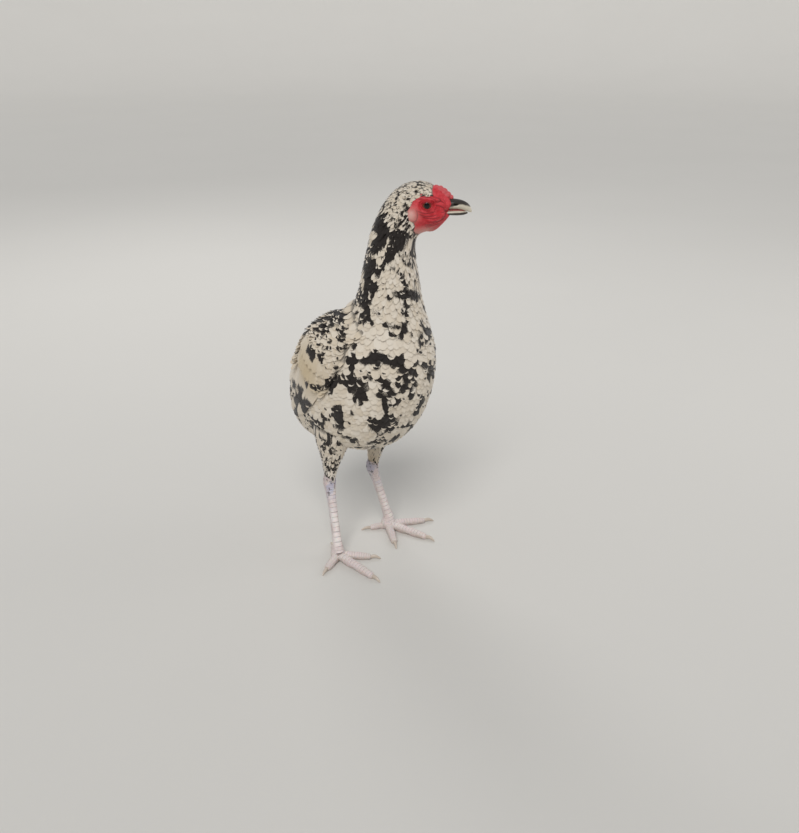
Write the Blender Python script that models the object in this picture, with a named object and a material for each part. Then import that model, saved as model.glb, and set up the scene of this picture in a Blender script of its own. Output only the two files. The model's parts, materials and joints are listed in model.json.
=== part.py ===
"""A standing game-type hen, life size, in metres, with +Z up.

She stands upright on the floor, her body faces -Y and her left side is +X. Her head is turned to her
left. Every form is worked out from the sizes named below. The body, neck and head are one lofted form,
parted by thin cuts, and wings, legs, comb and beak meet it with a small gap.
"""
import bmesh
import bpy
from math import cos, floor, pi, radians, sin, sqrt
from mathutils import Matrix, Vector

# Sizes that drive everything else.
GAP = 0.0003                    # between two nodes that touch
NECK_AXIS = 0.062               # how far in front of the feet the neck stands
HEAD_TURN = radians(48)         # the head looks to her left
FLOOR_CUT = 0.0012              # depth of the flats under the toes

# Body sections from the root of the tail to the root of the beak. Each row has the forward distance
# and height of its back edge and of its front edge, its half width, and its share of the head's turn.
TORSO_SECTIONS = (
    (-0.118, 0.176, -0.104, 0.162, 0.010, 0.00),
    (-0.118, 0.196, -0.084, 0.152, 0.032, 0.00),
    (-0.108, 0.228, -0.041, 0.150, 0.052, 0.00),
    (-0.092, 0.260, 0.007, 0.156, 0.064, 0.00),
    (-0.070, 0.290, 0.052, 0.172, 0.070, 0.00),
    (-0.047, 0.313, 0.084, 0.206, 0.071, 0.00),
    (-0.025, 0.331, 0.101, 0.248, 0.069, 0.00),
    (-0.005, 0.342, 0.107, 0.291, 0.062, 0.00),
    (0.012, 0.356, 0.103, 0.331, 0.050, 0.00),
)
NECK_SECTIONS = (
    (0.021, 0.381, 0.097, 0.364, 0.041, 0.10),
    (0.027, 0.406, 0.094, 0.394, 0.035, 0.30),
    (0.033, 0.434, 0.090, 0.424, 0.030, 0.60),
    (0.039, 0.457, 0.091, 0.443, 0.0265, 0.85),
    (0.047, 0.4745, 0.096, 0.4490, 0.0240, 1.00),
)
HEAD_SECTIONS = (
    (0.055, 0.488, 0.1035, 0.4535, 0.0225, 1.00),
    (0.065, 0.499, 0.1110, 0.4560, 0.0215, 1.00),
    (0.078, 0.507, 0.1175, 0.4590, 0.0208, 1.00),
    (0.093, 0.510, 0.1230, 0.4635, 0.0195, 1.00),
    (0.107, 0.507, 0.1270, 0.4680, 0.0165, 1.00),
    (0.119, 0.500, 0.1295, 0.4710, 0.0130, 1.00),
    (0.128, 0.492, 0.1315, 0.4725, 0.0100, 1.00),
)
BACK_SQUARENESS = 0.74          # below 1 the back half of a section is boxier than an ellipse
BREAST_SQUARENESS = 0.90
JAW_PINCH = 0.28                # above 0 the underside of the head narrows to a fold
CROWN_FLATNESS = 0.16
NECK_CUT = 8.35                 # section numbers at which the form is parted
MID_NECK_CUT = 10.6
HEAD_CUT = 12.9
FLANK_LIMIT = 0.96              # how far round towards the back a wing feather still bends
AROUND = 22                     # facets round the body
TORSO_STEPS = 22                # rings along the torso, each length of neck and the head
NECK_STEPS = 8
HEAD_STEPS = 18
NECK_GAP = 0.015                # the cuts between lengths, in sections, all of them about a gap wide
MID_NECK_GAP = 0.016
HEAD_GAP = 0.030
EYE_AT = (0.1020, 0.0142, 0.4857)   # forward in the head's own plane, sideways, height
EYE_RADIUS = 0.0080


def collection():
    return bpy.context.scene.collection


def clear_scene():
    for found in list(bpy.data.objects):
        bpy.data.objects.remove(found)


def hex_colour(text):
    def linear(channel):
        value = int(channel, 16) / 255
        return value / 12.92 if value <= 0.04045 else ((value + 0.055) / 1.055) ** 2.4
    return (linear(text[0:2]), linear(text[2:4]), linear(text[4:6]), 1.0)


def material(name, colour, roughness):
    made = bpy.data.materials.get(name)
    if made is None:
        made = bpy.data.materials.new(name)
        made.use_nodes = True
        shader = made.node_tree.nodes["Principled BSDF"]
        shader.inputs["Base Color"].default_value = hex_colour(colour)
        shader.inputs["Roughness"].default_value = roughness
        shader.inputs["Metallic"].default_value = 0.0
    return made


def plumage():
    return material("mottled_plumage", "B9AF9C", 0.75)


def bare_skin():
    return material("red_skin", "B23A40", 0.55)


def horn():
    return material("beak_horn", "5C5246", 0.45)


def leg_scale():
    return material("leg_scale", "C3A9A2", 0.6)


def named_object(name, bm, finish):
    """A new object from a bmesh, with its faces pointing out."""
    bmesh.ops.recalc_face_normals(bm, faces=bm.faces)
    mesh = bpy.data.meshes.new(name)
    bm.to_mesh(mesh)
    bm.free()
    mesh.materials.append(finish)
    mesh.shade_smooth()
    made = bpy.data.objects.new(name, mesh)
    collection().objects.link(made)
    return made


def wrapped(around, along, surface):
    """A closed bmesh: a flat grid rolled into a tube by surface(u, v), seamed, and closed at both ends."""
    bm = bmesh.new()
    bmesh.ops.create_grid(bm, x_segments=around, y_segments=along, size=0.5)
    for vert in bm.verts:
        vert.co = surface(vert.co.x + 0.5, vert.co.y + 0.5)
    bmesh.ops.remove_doubles(bm, verts=bm.verts, dist=1e-6)
    open_edges = [edge for edge in bm.edges if edge.is_boundary]
    bmesh.ops.holes_fill(bm, edges=open_edges, sides=0)
    return bm


def evaluated_copy(target):
    """Makes the object's mesh the one that its modifiers give, and takes the modifiers off."""
    graph = bpy.context.evaluated_depsgraph_get()
    mesh = bpy.data.meshes.new_from_object(target.evaluated_get(graph))
    target.modifiers.clear()
    target.data = mesh


def keep_largest(target):
    """Keeps the closed surface that has the most volume, and drops loose scraps and sealed hollows."""
    bm = bmesh.new()
    bm.from_mesh(target.data)
    bm.verts.ensure_lookup_table()
    unseen = set(bm.verts)
    groups = []
    while unseen:
        front = [unseen.pop()]
        group = set(front)
        while front:
            for edge in front.pop().link_edges:
                for vert in edge.verts:
                    if vert in unseen:
                        unseen.discard(vert)
                        group.add(vert)
                        front.append(vert)
        groups.append(group)

    def span(group):
        faces = {face for vert in group for face in vert.link_faces}
        return sum(face.calc_area() for face in faces)

    groups.sort(key=span)
    dropped = [vert for group in groups[:-1] for vert in group]
    bmesh.ops.delete(bm, geom=dropped, context="VERTS")
    bm.to_mesh(target.data)
    bm.free()


def fuse(target, pieces):
    """Joins closed pieces to the target by one Boolean union on a collection."""
    group = bpy.data.collections.new(target.name + "_pieces")
    collection().children.link(group)
    for piece in pieces:
        collection().objects.unlink(piece)
        group.objects.link(piece)
    union = target.modifiers.new("union", "BOOLEAN")
    union.operation = "UNION"
    union.operand_type = "COLLECTION"
    union.collection = group
    union.solver = "EXACT"
    evaluated_copy(target)
    for piece in list(group.objects):
        bpy.data.objects.remove(piece)
    bpy.data.collections.remove(group)
    keep_largest(target)
    return target


def cut_away(target, cutter):
    """Cuts the cutter's shape out of the target."""
    cut = target.modifiers.new("cut", "BOOLEAN")
    cut.operation = "DIFFERENCE"
    cut.object = cutter
    cut.solver = "EXACT"
    evaluated_copy(target)
    bpy.data.objects.remove(cutter)
    keep_largest(target)
    return target


def spline(values, t):
    """A Catmull-Rom value at t, where whole numbers are the listed values."""
    last = len(values) - 1
    i = min(max(int(floor(t)), 0), last - 1)
    f = t - i
    before = values[max(i - 1, 0)]
    start = values[i]
    end = values[i + 1]
    after = values[min(i + 2, last)]
    return 0.5 * (2 * start + (end - before) * f + (2 * before - 5 * start + 4 * end - after) * f * f
                  + (3 * start - before - 3 * end + after) * f ** 3)


BODY_SECTIONS = TORSO_SECTIONS + NECK_SECTIONS + HEAD_SECTIONS
COLUMNS = tuple(zip(*BODY_SECTIONS))
LAST_SECTION = len(BODY_SECTIONS) - 1


def head_place(forward, sideways, height, turn=1.0):
    """A point given in the head's own turned plane, in the body's frame. Sideways is to her left."""
    angle = HEAD_TURN * turn
    reach = forward - NECK_AXIS
    return Vector((reach * sin(angle) + sideways * cos(angle),
                   -NECK_AXIS - reach * cos(angle) + sideways * sin(angle),
                   height))


def bent(value, power):
    return abs(value) ** power * (1 if value > 0 else -1)


def squareness(t, forward):
    """How boxy a section is: boxy along the back and the crown, and pinched under the jaw."""
    trunk = min(max(t / 2.5, 0), 1) * (1 - min(max((t - 6.8) / 2.0, 0), 1))
    skull = min(max((t - 12.4) / 2.0, 0), 1)
    if forward > 0:
        return 1 - (1 - BREAST_SQUARENESS) * trunk + JAW_PINCH * skull
    return 1 - (1 - BACK_SQUARENESS) * trunk - CROWN_FLATNESS * skull


def body_section(t):
    """The section's middle and its half reach forward, both seen from the side, with its half width."""
    back_s, back_z, front_s, front_z, half_width = (spline(column, t) for column in COLUMNS[:5])
    middle = Vector(((back_s + front_s) / 2, (back_z + front_z) / 2))
    return middle, Vector((front_s - back_s, front_z - back_z)) / 2, half_width


def body_point(t, u, grow=0.0):
    """The body's outer surface: t counts sections from the tail's root, u goes once round from the front."""
    middle, half, half_width = body_section(t)
    half = half * ((half.length + grow) / half.length)
    power = squareness(t, cos(2 * pi * u))
    along = middle + half * bent(cos(2 * pi * u), power)
    side = (half_width + grow) * bent(sin(2 * pi * u), power)
    return head_place(along.x, side, along.y, spline(COLUMNS[5], t))


def body_length(name, first, last, steps, finish, grow=0.0):
    """One length of the body's form, between two section numbers, with flat ends. A grown copy of it
    that cuts its neighbours is split into the same triangles, so that the gap stays even."""
    bm = wrapped(AROUND, steps, lambda u, v: body_point(first + (last - first) * v, -u, grow))
    bmesh.ops.triangulate(bm, faces=bm.faces, quad_method="FIXED")
    return named_object(name, bm, finish)


def flank_point(forward, height, lift, side):
    """The point of her flank that shows at this place from the side, lifted off the body's surface."""
    at = Vector((forward, height))
    low = 0.0
    high = float(NECK_CUT)
    for _ in range(24):
        t = (low + high) / 2
        middle, half, half_width = body_section(t)
        if half.cross(at - middle) > 0:
            low = t
        else:
            high = t
    across = (at - middle).dot(half) / half.length_squared
    held = min(max(across, -FLANK_LIMIT), FLANK_LIMIT)
    power = squareness(t, held)
    round_share = (1 - abs(held) ** (2 / power)) ** (power / 2)
    along = middle + half * (across + lift * held / half.length)
    return Vector((side * (half_width + lift) * round_share, -along.x, along.y))


# The wing lies on the flank along this line, seen from the side. Lengths along it start at the shoulder.
WING_TOP = Vector((0.040, 0.341))
WING_AXIS = Vector((-0.119, -0.152)).normalized()
WING_ACROSS = Vector((WING_AXIS.y, -WING_AXIS.x))
PAD_FRONT = 0.006               # how far the fleshy pad of the wing starts ahead of the shoulder
PAD_LENGTH = 0.128
PAD_DORSAL = 0.043              # how far the wing reaches across towards the back, and towards the belly
PAD_VENTRAL = 0.034
PAD_LIFT = 0.0205               # how far the wing stands off the body at the shoulder
LEAST_LIFT = 0.0026             # and where it is thinnest
PAD_BLUNTNESS = 0.45            # below 0.5 the pad's two ends are blunter than an ellipse's
PAD_FULLNESS = 2.4              # above 2 the wing is fuller towards its edges than a parabola

# Tiers of wing feathers: how many, then the places of the first and last root and the first and last
# tip along and across the wing, the width, and the lift of roots and tips off the wing's own surface.
WING_TIERS = (
    (4, (0.088, -0.020), (0.084, -0.003), (0.160, -0.018), (0.184, 0.002), 0.0095, -0.0034, 0.0002),
    (7, (0.056, -0.024), (0.058, 0.034), (0.134, -0.022), (0.146, 0.028), 0.0122, -0.0034, 0.0014),
    (6, (0.031, -0.023), (0.036, 0.034), (0.083, -0.025), (0.090, 0.035), 0.0145, -0.0034, 0.0036),
    (5, (0.007, -0.014), (0.010, 0.024), (0.050, -0.024), (0.055, 0.035), 0.0170, -0.0034, 0.0046),
)
SHINGLE = 0.0009                # how far each feather's outer edge stands over its neighbour
PAD_DEPTH = 0.0022              # how far the fleshy pad lies under the wing's surface


def wing_height(a, b):
    """How far the wing's own surface stands off the body at this place along and across it."""
    v = (a + PAD_FRONT) / PAD_LENGTH
    if not 0 < v < 1:
        return 0.0
    spread = (1 - (2 * v - 1) ** 2) ** PAD_BLUNTNESS
    width = (PAD_DORSAL if b > 0 else PAD_VENTRAL) * spread
    edge = max(1 - (abs(b) / width) ** PAD_FULLNESS, 0) ** 0.75
    return PAD_LIFT * (1 - 0.72 * max(v - 0.15, 0) / 0.85) * spread * edge


def wing_place(side):
    """Gives the function from places along and across a wing, and a lift off its surface, to points."""
    def place(a, b, lift):
        at = WING_TOP + WING_AXIS * a + WING_ACROSS * b
        return flank_point(at.x, at.y, lift, side)
    return place


def wing_surface_place(side):
    base = wing_place(side)

    def place(a, b, lift):
        return base(a, b, max(wing_height(a, b), LEAST_LIFT) + lift)
    return place


def vane(place, root, tip, width, root_lift, tip_lift, shingle=0.0, thickness=0.0007, steps=4):
    """One closed feather vane on a surface given by place(a, b, lift). Only its root is sunk."""
    root = Vector(root)
    tip = Vector(tip)
    along = (tip - root).normalized()
    across = Vector((-along.y, along.x))
    bm = bmesh.new()
    layers = []
    for layer in (0, 1):
        rows = []
        for i in range(steps + 1):
            f = i / steps
            taper = sqrt(max(1 - max(f - 0.6, 0) ** 2 / 0.18, 0.05))
            share = (0.5 + 0.5 * sin(pi * min(f * 0.95, 0.5))) * taper
            row = []
            for k in (-1, 1):
                at = root.lerp(tip, f) + across * (k * share * width / 2)
                lift = tip_lift * f + shingle * k * share if i else root_lift
                row.append(bm.verts.new(place(at.x, at.y, lift + layer * thickness)))
            rows.append(row)
        layers.append(rows)
    for rows in layers:
        for here, there in zip(rows, rows[1:]):
            bm.faces.new((here[0], here[1], there[1], there[0]))
    low = [row[0] for row in layers[0]] + [row[1] for row in reversed(layers[0])]
    high = [row[0] for row in layers[1]] + [row[1] for row in reversed(layers[1])]
    for i in range(len(low)):
        j = (i + 1) % len(low)
        bm.faces.new((low[i], low[j], high[j], high[i]))
    return named_object("vane", bm, plumage())


def tier(place, count, first_root, last_root, first_tip, last_tip, width, root_lift, tip_lift):
    made = []
    for i in range(count):
        f = i / (count - 1)
        root = Vector(first_root).lerp(Vector(last_root), f)
        tip = Vector(first_tip).lerp(Vector(last_tip), f)
        bow = sin(pi * f) * 0.006
        made.append(vane(place, root, tip + Vector((bow, 0)), width, root_lift, tip_lift, SHINGLE))
    return made


def make_wing(name, side):
    place = wing_place(side)

    def pad(u, v):
        a = PAD_LENGTH * v - PAD_FRONT
        spread = max(1 - (2 * v - 1) ** 2, 0) ** PAD_BLUNTNESS
        c = bent(cos(2 * pi * u), 0.8)
        b = (PAD_DORSAL if c > 0 else PAD_VENTRAL) * spread * c
        return place(a, b, max(wing_height(a, b) - PAD_DEPTH, 0) if u < 0.5 else 0.003 * sin(2 * pi * u))

    wing = named_object(name, wrapped(14, 11, pad), plumage())
    vanes = []
    for numbers in WING_TIERS:
        vanes += tier(wing_surface_place(side), *numbers)
    fuse(wing, vanes)
    return cut_away(wing, body_length("body", 0, NECK_CUT, TORSO_STEPS, plumage(), GAP))


# The tail hangs steeply from the rump. Its feathers fan out on both sides like a narrow tent.
TAIL_ROOT = Vector((0.0, 0.104, 0.182))
TAIL_DOWN = Vector((0.17, 0.42, -0.89)).normalized()
TAIL_SIDE = Vector((1.0, -0.06, 0.16)).normalized()
TAIL_OUT = TAIL_SIDE.cross(TAIL_DOWN).normalized()
TAIL_FEATHERS = 10
TAIL_COVERTS = 5
TAIL_LENGTH = 0.072


def make_tail(name):
    def place(a, b, lift):
        tent = -0.22 * abs(b)
        return TAIL_ROOT + TAIL_DOWN * a + TAIL_SIDE * b + TAIL_OUT * (lift + tent)

    def core(u, v):
        spread = sqrt(max(1 - (2 * v - 1) ** 2, 0)) ** 0.8
        return place(0.040 * v - 0.010, 0.013 * spread * cos(2 * pi * u), 0.006 * spread * sin(2 * pi * u))

    tail = named_object(name, wrapped(12, 6, core), plumage())
    vanes = []
    for i in range(TAIL_FEATHERS):
        off = i - (TAIL_FEATHERS - 1) / 2
        length = TAIL_LENGTH - 0.0016 * abs(off)
        root = (0.004, off * 0.0017)
        tip = (length, off * 0.0031)
        lift = -0.0009 * abs(off) + (0.0004 if off > 0 else 0)
        vanes.append(vane(place, root, tip, 0.014, lift, lift, 0.0))
    for i in range(TAIL_COVERTS):
        off = i - (TAIL_COVERTS - 1) / 2
        lift = 0.0036 - 0.0008 * abs(off) + (0.0004 if off > 0 else 0)
        vanes.append(vane(place, (-0.004, off * 0.004), (0.036 - abs(off) * 0.002, off * 0.0050), 0.013,
                          lift, lift, 0.0))
    fuse(tail, vanes)
    return cut_away(tail, body_length("body", 0, NECK_CUT, TORSO_STEPS, plumage(), GAP))


def tube(name, points, radii, around, finish, steps=12, flat_ends=(False, False), ripple=None, wide=1.0):
    """A tube through the points. Its ends are round unless said, and ripple(v, u) scales its radius."""
    points = [Vector(point) for point in points]
    xs, ys, zs = zip(*points)
    last = len(points) - 1

    level_way = (points[-1] - points[0]).cross(Vector((0, 0, 1)))
    run = (points[-1] - points[0]).length
    level_way = level_way.normalized() if level_way.length > 0.75 * run else Vector((1, 0, 0))

    def centre(t):
        return Vector((spline(xs, t), spline(ys, t), spline(zs, t)))

    def surface(u, v):
        along = v
        shrink = 1.0
        if not flat_ends[0] and v * steps < 1:
            shrink = sqrt(max(v * steps, 0.0)) * 0.8
        if not flat_ends[1] and (1 - v) * steps < 1:
            shrink = sqrt(max((1 - v) * steps, 0.0)) * 0.8
        t = along * last
        heading = (centre(min(t + 0.05, last)) - centre(max(t - 0.05, 0))).normalized()
        level = (level_way - heading * level_way.dot(heading)).normalized()
        up = level.cross(heading)
        radius = spline(radii, t * (len(radii) - 1) / last) * shrink
        if ripple:
            radius *= ripple(v, u)
        return centre(t) + level * (radius * wide * cos(2 * pi * u)) + up * (radius * sin(2 * pi * u))

    return named_object(name, wrapped(around, steps, surface), finish)


# Legs, one row a side: the foot's place, the hock and the top of the thigh, as x, forward and height.
LEGS = {
    "right": ((-0.0526, 0.008), (-0.0400, -0.022, 0.102), (-0.043, -0.006, 0.200)),
    "left": ((0.0526, -0.008), (0.0380, -0.024, 0.098), (0.043, -0.010, 0.198)),
}
ANKLE_HEIGHT = 0.022
SHANK_RADIUS = 0.0060
HOCK_RADIUS = 0.0088
SCUTES = 13
SCUTE_RISE = 0.10               # how far a scute's upper edge stands up, as a share of the leg's radius
TOE_SCUTES = 10

# Toes: for each foot, the tips of the claws on the floor as x and forward, with the radius at the root.
TOES = {
    "right": {"inner": (-0.0105, 0.0493, 0.0058), "middle": (-0.0491, 0.0918, 0.0062),
              "outer": (-0.0953, 0.0288, 0.0057), "back": (-0.0360, -0.0290, 0.0050)},
    "left": {"inner": (0.0217, 0.0451, 0.0058), "middle": (0.0749, 0.0662, 0.0062),
             "outer": (0.1135, 0.0239, 0.0057), "back": (0.0180, -0.0270, 0.0050)},
}
CLAW_LENGTH = 0.013
TOE_STEPS = 12


def forward_point(x, forward, height):
    return Vector((x, -forward, height))


def plane_cut(target, point, normal, keep_side=1):
    """Cuts the target flat, keeping the side that the normal points to."""
    bm = bmesh.new()
    bm.from_mesh(target.data)
    geometry = list(bm.verts) + list(bm.edges) + list(bm.faces)
    cut = bmesh.ops.bisect_plane(bm, geom=geometry, plane_co=point, plane_no=Vector(normal) * keep_side,
                                 clear_inner=True)
    edges = [item for item in cut["geom_cut"] if isinstance(item, bmesh.types.BMEdge)]
    bmesh.ops.holes_fill(bm, edges=edges, sides=0)
    bm.to_mesh(target.data)
    bm.free()
    keep_largest(target)
    return target


def make_leg(side):
    foot, hock, knee = LEGS[side]
    ankle = forward_point(foot[0], foot[1], ANKLE_HEIGHT)
    hock_at = forward_point(*hock)
    knee_at = forward_point(*knee)
    run = (hock_at - ankle).normalized()
    thigh_run = (knee_at - hock_at).normalized()
    joint = hock_at + thigh_run * 0.008

    def scutes(v, u):
        step = (v * SCUTES) % 1.0
        return 1 + SCUTE_RISE * (1 - step) * max(sin(2 * pi * u), 0) if 0.02 < v < 0.9 else 1

    shank = tube("shank_" + side,
                 (ankle - run * 0.006, ankle.lerp(hock_at, 0.3), ankle.lerp(hock_at, 0.75), hock_at,
                  joint + thigh_run * 0.002),
                 (SHANK_RADIUS * 1.15, SHANK_RADIUS, SHANK_RADIUS * 1.08, HOCK_RADIUS, HOCK_RADIUS * 0.98),
                 10, leg_scale(), steps=2 * SCUTES, flat_ends=(True, True), wide=0.92, ripple=scutes)
    plane_cut(shank, ankle + run * GAP, run)
    plane_cut(shank, joint - thigh_run * GAP, thigh_run, -1)
    thigh = tube("thigh_" + side,
                 (joint, joint.lerp(knee_at, 0.3), joint.lerp(knee_at, 0.65), knee_at),
                 (HOCK_RADIUS * 1.03, 0.0140, 0.0250, 0.0340), 16, plumage(), steps=10,
                 flat_ends=(True, False), wide=0.75)
    cut_away(thigh, body_length("body", 0, NECK_CUT, TORSO_STEPS, plumage(), GAP))
    make_foot(side, ankle, run)


def make_foot(side, ankle, run):
    hub = tube("foot_" + side, (ankle + run * 0.004, ankle - run * 0.004, (ankle.x, ankle.y, 0.0075),
                                (ankle.x, ankle.y, 0.0008)),
               (SHANK_RADIUS * 1.15, SHANK_RADIUS * 1.2, 0.0095, 0.0088), 14, leg_scale(), steps=10,
               flat_ends=(True, False))
    toes = []
    for toe, (x, forward, radius) in TOES[side].items():
        tip = forward_point(x, forward, 0.0)
        start = Vector((ankle.x, ankle.y, 0.0))
        reach = (tip - start).length - CLAW_LENGTH
        way = (tip - start).normalized()
        claw_root = start + way * reach
        points = (start + way * 0.0025 + Vector((0, 0, radius + 0.0007)),
                  start.lerp(claw_root, 0.35) + Vector((0, 0, radius)),
                  start.lerp(claw_root, 0.7) + Vector((0, 0, radius * 0.9)),
                  claw_root + Vector((0, 0, radius * 0.68)))

        def pads(v, u):
            below = max(-sin(2 * pi * u), 0)
            above = max(sin(2 * pi * u), 0)
            knuckle = 0.10 * cos(2 * pi * (v * 3.0)) * below
            step = (v * TOE_SCUTES) % 1.0
            return 1 + knuckle + SCUTE_RISE * (1 - step) * above

        toes.append(tube("toe", points, (radius, radius * 0.94, radius * 0.84, radius * 0.66), 8,
                         leg_scale(), steps=TOE_STEPS, ripple=pads, wide=1.05))
        claw = tube("claw_" + side + "_" + toe,
                    (claw_root + Vector((0, 0, radius * 0.72)) - way * 0.003,
                     claw_root + Vector((0, 0, radius * 0.95)) + way * CLAW_LENGTH * 0.35,
                     claw_root + Vector((0, 0, radius * 0.62)) + way * CLAW_LENGTH * 0.75,
                     tip + Vector((0, 0, 0.0016))),
                    (radius * 0.40, radius * 0.42, radius * 0.28, 0.0007), 6, horn(), steps=6, wide=0.8)
        plane_cut(claw, claw_root + way * (radius * 0.30), way)
    plane_cut(hub, ankle, run, -1)
    fuse(hub, toes)
    plane_cut(hub, Vector((0, 0, FLOOR_CUT)), (0, 0, 1))
    return hub


def profile_form(name, rows, around, steps, finish, power=1.0):
    """A form in the head's own plane. Rows hold a top and a bottom place and a half width."""
    columns = tuple(zip(*rows))
    last = len(rows) - 1

    def surface(u, v):
        top_s, top_z, low_s, low_z, half_width = (spline(column, v * last) for column in columns)
        c = cos(2 * pi * u)
        s = sin(2 * pi * u)
        mid = Vector(((top_s + low_s) / 2, (top_z + low_z) / 2))
        half = Vector((top_s - low_s, top_z - low_z)) / 2
        at = mid + half * (abs(c) ** power * (1 if c > 0 else -1))
        return head_place(at.x, half_width * abs(s) ** power * (1 if s > 0 else -1), at.y)

    return named_object(name, wrapped(around, steps, surface), finish)


UPPER_BEAK = (
    (0.1275, 0.4905, 0.1285, 0.4780, 0.0092),
    (0.1330, 0.4900, 0.1335, 0.4782, 0.0084),
    (0.1400, 0.4890, 0.1400, 0.4778, 0.0068),
    (0.1460, 0.4870, 0.1445, 0.4768, 0.0052),
    (0.1510, 0.4835, 0.1485, 0.4758, 0.0036),
    (0.1540, 0.4785, 0.1520, 0.4745, 0.0018),
    (0.1546, 0.4752, 0.1540, 0.4742, 0.0006),
)
LOWER_BEAK = (
    (0.1280, 0.4774, 0.1275, 0.4712, 0.0085),
    (0.1340, 0.4775, 0.1345, 0.4708, 0.0074),
    (0.1400, 0.4771, 0.1410, 0.4708, 0.0056),
    (0.1450, 0.4762, 0.1460, 0.4714, 0.0036),
    (0.1495, 0.4748, 0.1500, 0.4730, 0.0012),
)
COMB_LUMPS = (
    (0.1120, 0.0, 0.5035, 0.0050), (0.1165, 0.0, 0.5022, 0.0054), (0.1215, 0.0, 0.4990, 0.0050),
    (0.1262, 0.0, 0.4945, 0.0044), (0.1150, 0.0048, 0.5010, 0.0038), (0.1195, 0.0046, 0.4982, 0.0038),
    (0.1235, 0.0042, 0.4945, 0.0034), (0.1150, -0.0048, 0.5010, 0.0038), (0.1195, -0.0046, 0.4982, 0.0038),
    (0.1235, -0.0042, 0.4945, 0.0034),
)
# Lumps and folds fused to the head: forward, sideways and height of the middle, the reach forward,
# sideways and up, and the tilt of the forward end upwards in degrees. The same ones go on both sides.
HEAD_FOLDS = (
    (0.1030, 0.0150, 0.4925, 0.0145, 0.0052, 0.0040, -4),      # brow
    (0.1150, 0.0112, 0.4885, 0.0090, 0.0050, 0.0060, -25),     # front of the eye socket's rim
    (0.1015, 0.0150, 0.4852, 0.0120, 0.0062, 0.0095, 0),       # round the eye
    (0.1080, 0.0110, 0.4720, 0.0170, 0.0066, 0.0085, 20),      # cheek
    (0.0850, 0.0195, 0.4735, 0.0062, 0.0036, 0.0068, 10),      # ear lobe
)
DEWLAP = (0.1120, 0.0, 0.4640, 0.0165, 0.0034, 0.0072, 32)
EAR_CUP = (0.0880, 0.0213, 0.4815, 0.0044, 0.0034, 0.0010)     # middle, half length and height, thickness
LID_REACH = (0.0056, 0.0041, 0.0010)    # half length and height of the opening, and thickness
MOUTH_CORNER = (0.1265, 0.0112, 0.4768, 0.0060, 0.0022, 0.0005, 8)
NOSTRIL = (0.1352, 0.0078, 0.4848, 0.0022, 0.0014, 0.0008, -12)
FOLD_RINGS = 6


def ellipsoid(name, numbers, side, finish, rings=FOLD_RINGS):
    """An ellipsoid in the head's own plane, from a row of numbers like those above."""
    forward, sideways, height, long, wide, high, tilt = numbers
    bm = bmesh.new()
    bmesh.ops.create_uvsphere(bm, u_segments=2 * rings, v_segments=rings, radius=1.0)
    bmesh.ops.scale(bm, vec=(wide, long, high), verts=bm.verts)
    bmesh.ops.rotate(bm, cent=(0, 0, 0), matrix=Matrix.Rotation(-radians(tilt), 3, "X"), verts=bm.verts)
    bmesh.ops.rotate(bm, cent=(0, 0, 0), matrix=Matrix.Rotation(HEAD_TURN, 3, "Z"), verts=bm.verts)
    bmesh.ops.translate(bm, vec=head_place(forward, side * sideways, height), verts=bm.verts)
    return named_object(name, bm, finish)


def ball(name, at, radius, finish, rings=8):
    bm = bmesh.new()
    bmesh.ops.create_uvsphere(bm, u_segments=2 * rings, v_segments=rings, radius=radius)
    bmesh.ops.translate(bm, vec=at, verts=bm.verts)
    return named_object(name, bm, finish)


def loop_form(name, numbers, side, finish, bulge=None, around=18, tube_sides=6):
    """A closed ring of round section in the head's own plane, bent over the eyeball if bulge is given."""
    forward, sideways, height, long, high, thick = numbers

    def surface(u, v):
        angle = 2 * pi * v
        swell = 1 + thick / long * cos(2 * pi * u)
        ahead = long * swell * cos(angle)
        up = high * swell * sin(angle)
        out = thick * sin(2 * pi * u)
        if bulge:
            out += sqrt(max(bulge ** 2 - ahead ** 2 - up ** 2, 0))
        return head_place(forward + ahead, side * (sideways + out), height + up)

    return named_object(name, wrapped(tube_sides, around, surface), finish)


def make_head():
    head = body_length("head", HEAD_CUT + HEAD_GAP, LAST_SECTION, HEAD_STEPS, bare_skin())
    folds = [ellipsoid("dewlap", DEWLAP, 1, bare_skin())]
    for side in (-1, 1):
        folds += [ellipsoid("fold", numbers, side, bare_skin()) for numbers in HEAD_FOLDS]
        folds.append(loop_form("ear", EAR_CUP, side, bare_skin(), None, 12))
        lid = EYE_AT + LID_REACH
        folds.append(loop_form("lid", lid, side, bare_skin(), EYE_RADIUS + 0.0004))
    fuse(head, folds)
    for side, word in ((-1, "right"), (1, "left")):
        at = head_place(EYE_AT[0], side * EYE_AT[1], EYE_AT[2])
        cut_away(head, ball("socket", at, EYE_RADIUS + GAP, bare_skin()))
        ball("eye_" + word, at, EYE_RADIUS, eye_finish())
        cut_away(head, ellipsoid("mouth", MOUTH_CORNER, side, bare_skin()))
    comb = ball("comb", head_place(*COMB_LUMPS[0][:3]), COMB_LUMPS[0][3], bare_skin(), 4)
    fuse(comb, [ball("lump", head_place(*lump[:3]), lump[3], bare_skin(), 4) for lump in COMB_LUMPS[1:]])
    upper = profile_form("beak_upper", UPPER_BEAK, 14, 12, horn(), 0.9)
    lower = profile_form("beak_lower", LOWER_BEAK, 12, 8, horn(), 0.9)
    for side in (-1, 1):
        cut_away(upper, ellipsoid("nostril", NOSTRIL, side, horn()))
    for piece in (comb, upper, lower):
        cut_away(piece, grown_copy(head))
    cut_away(comb, grown_copy(upper))
    cut_away(lower, grown_copy(upper))


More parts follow.
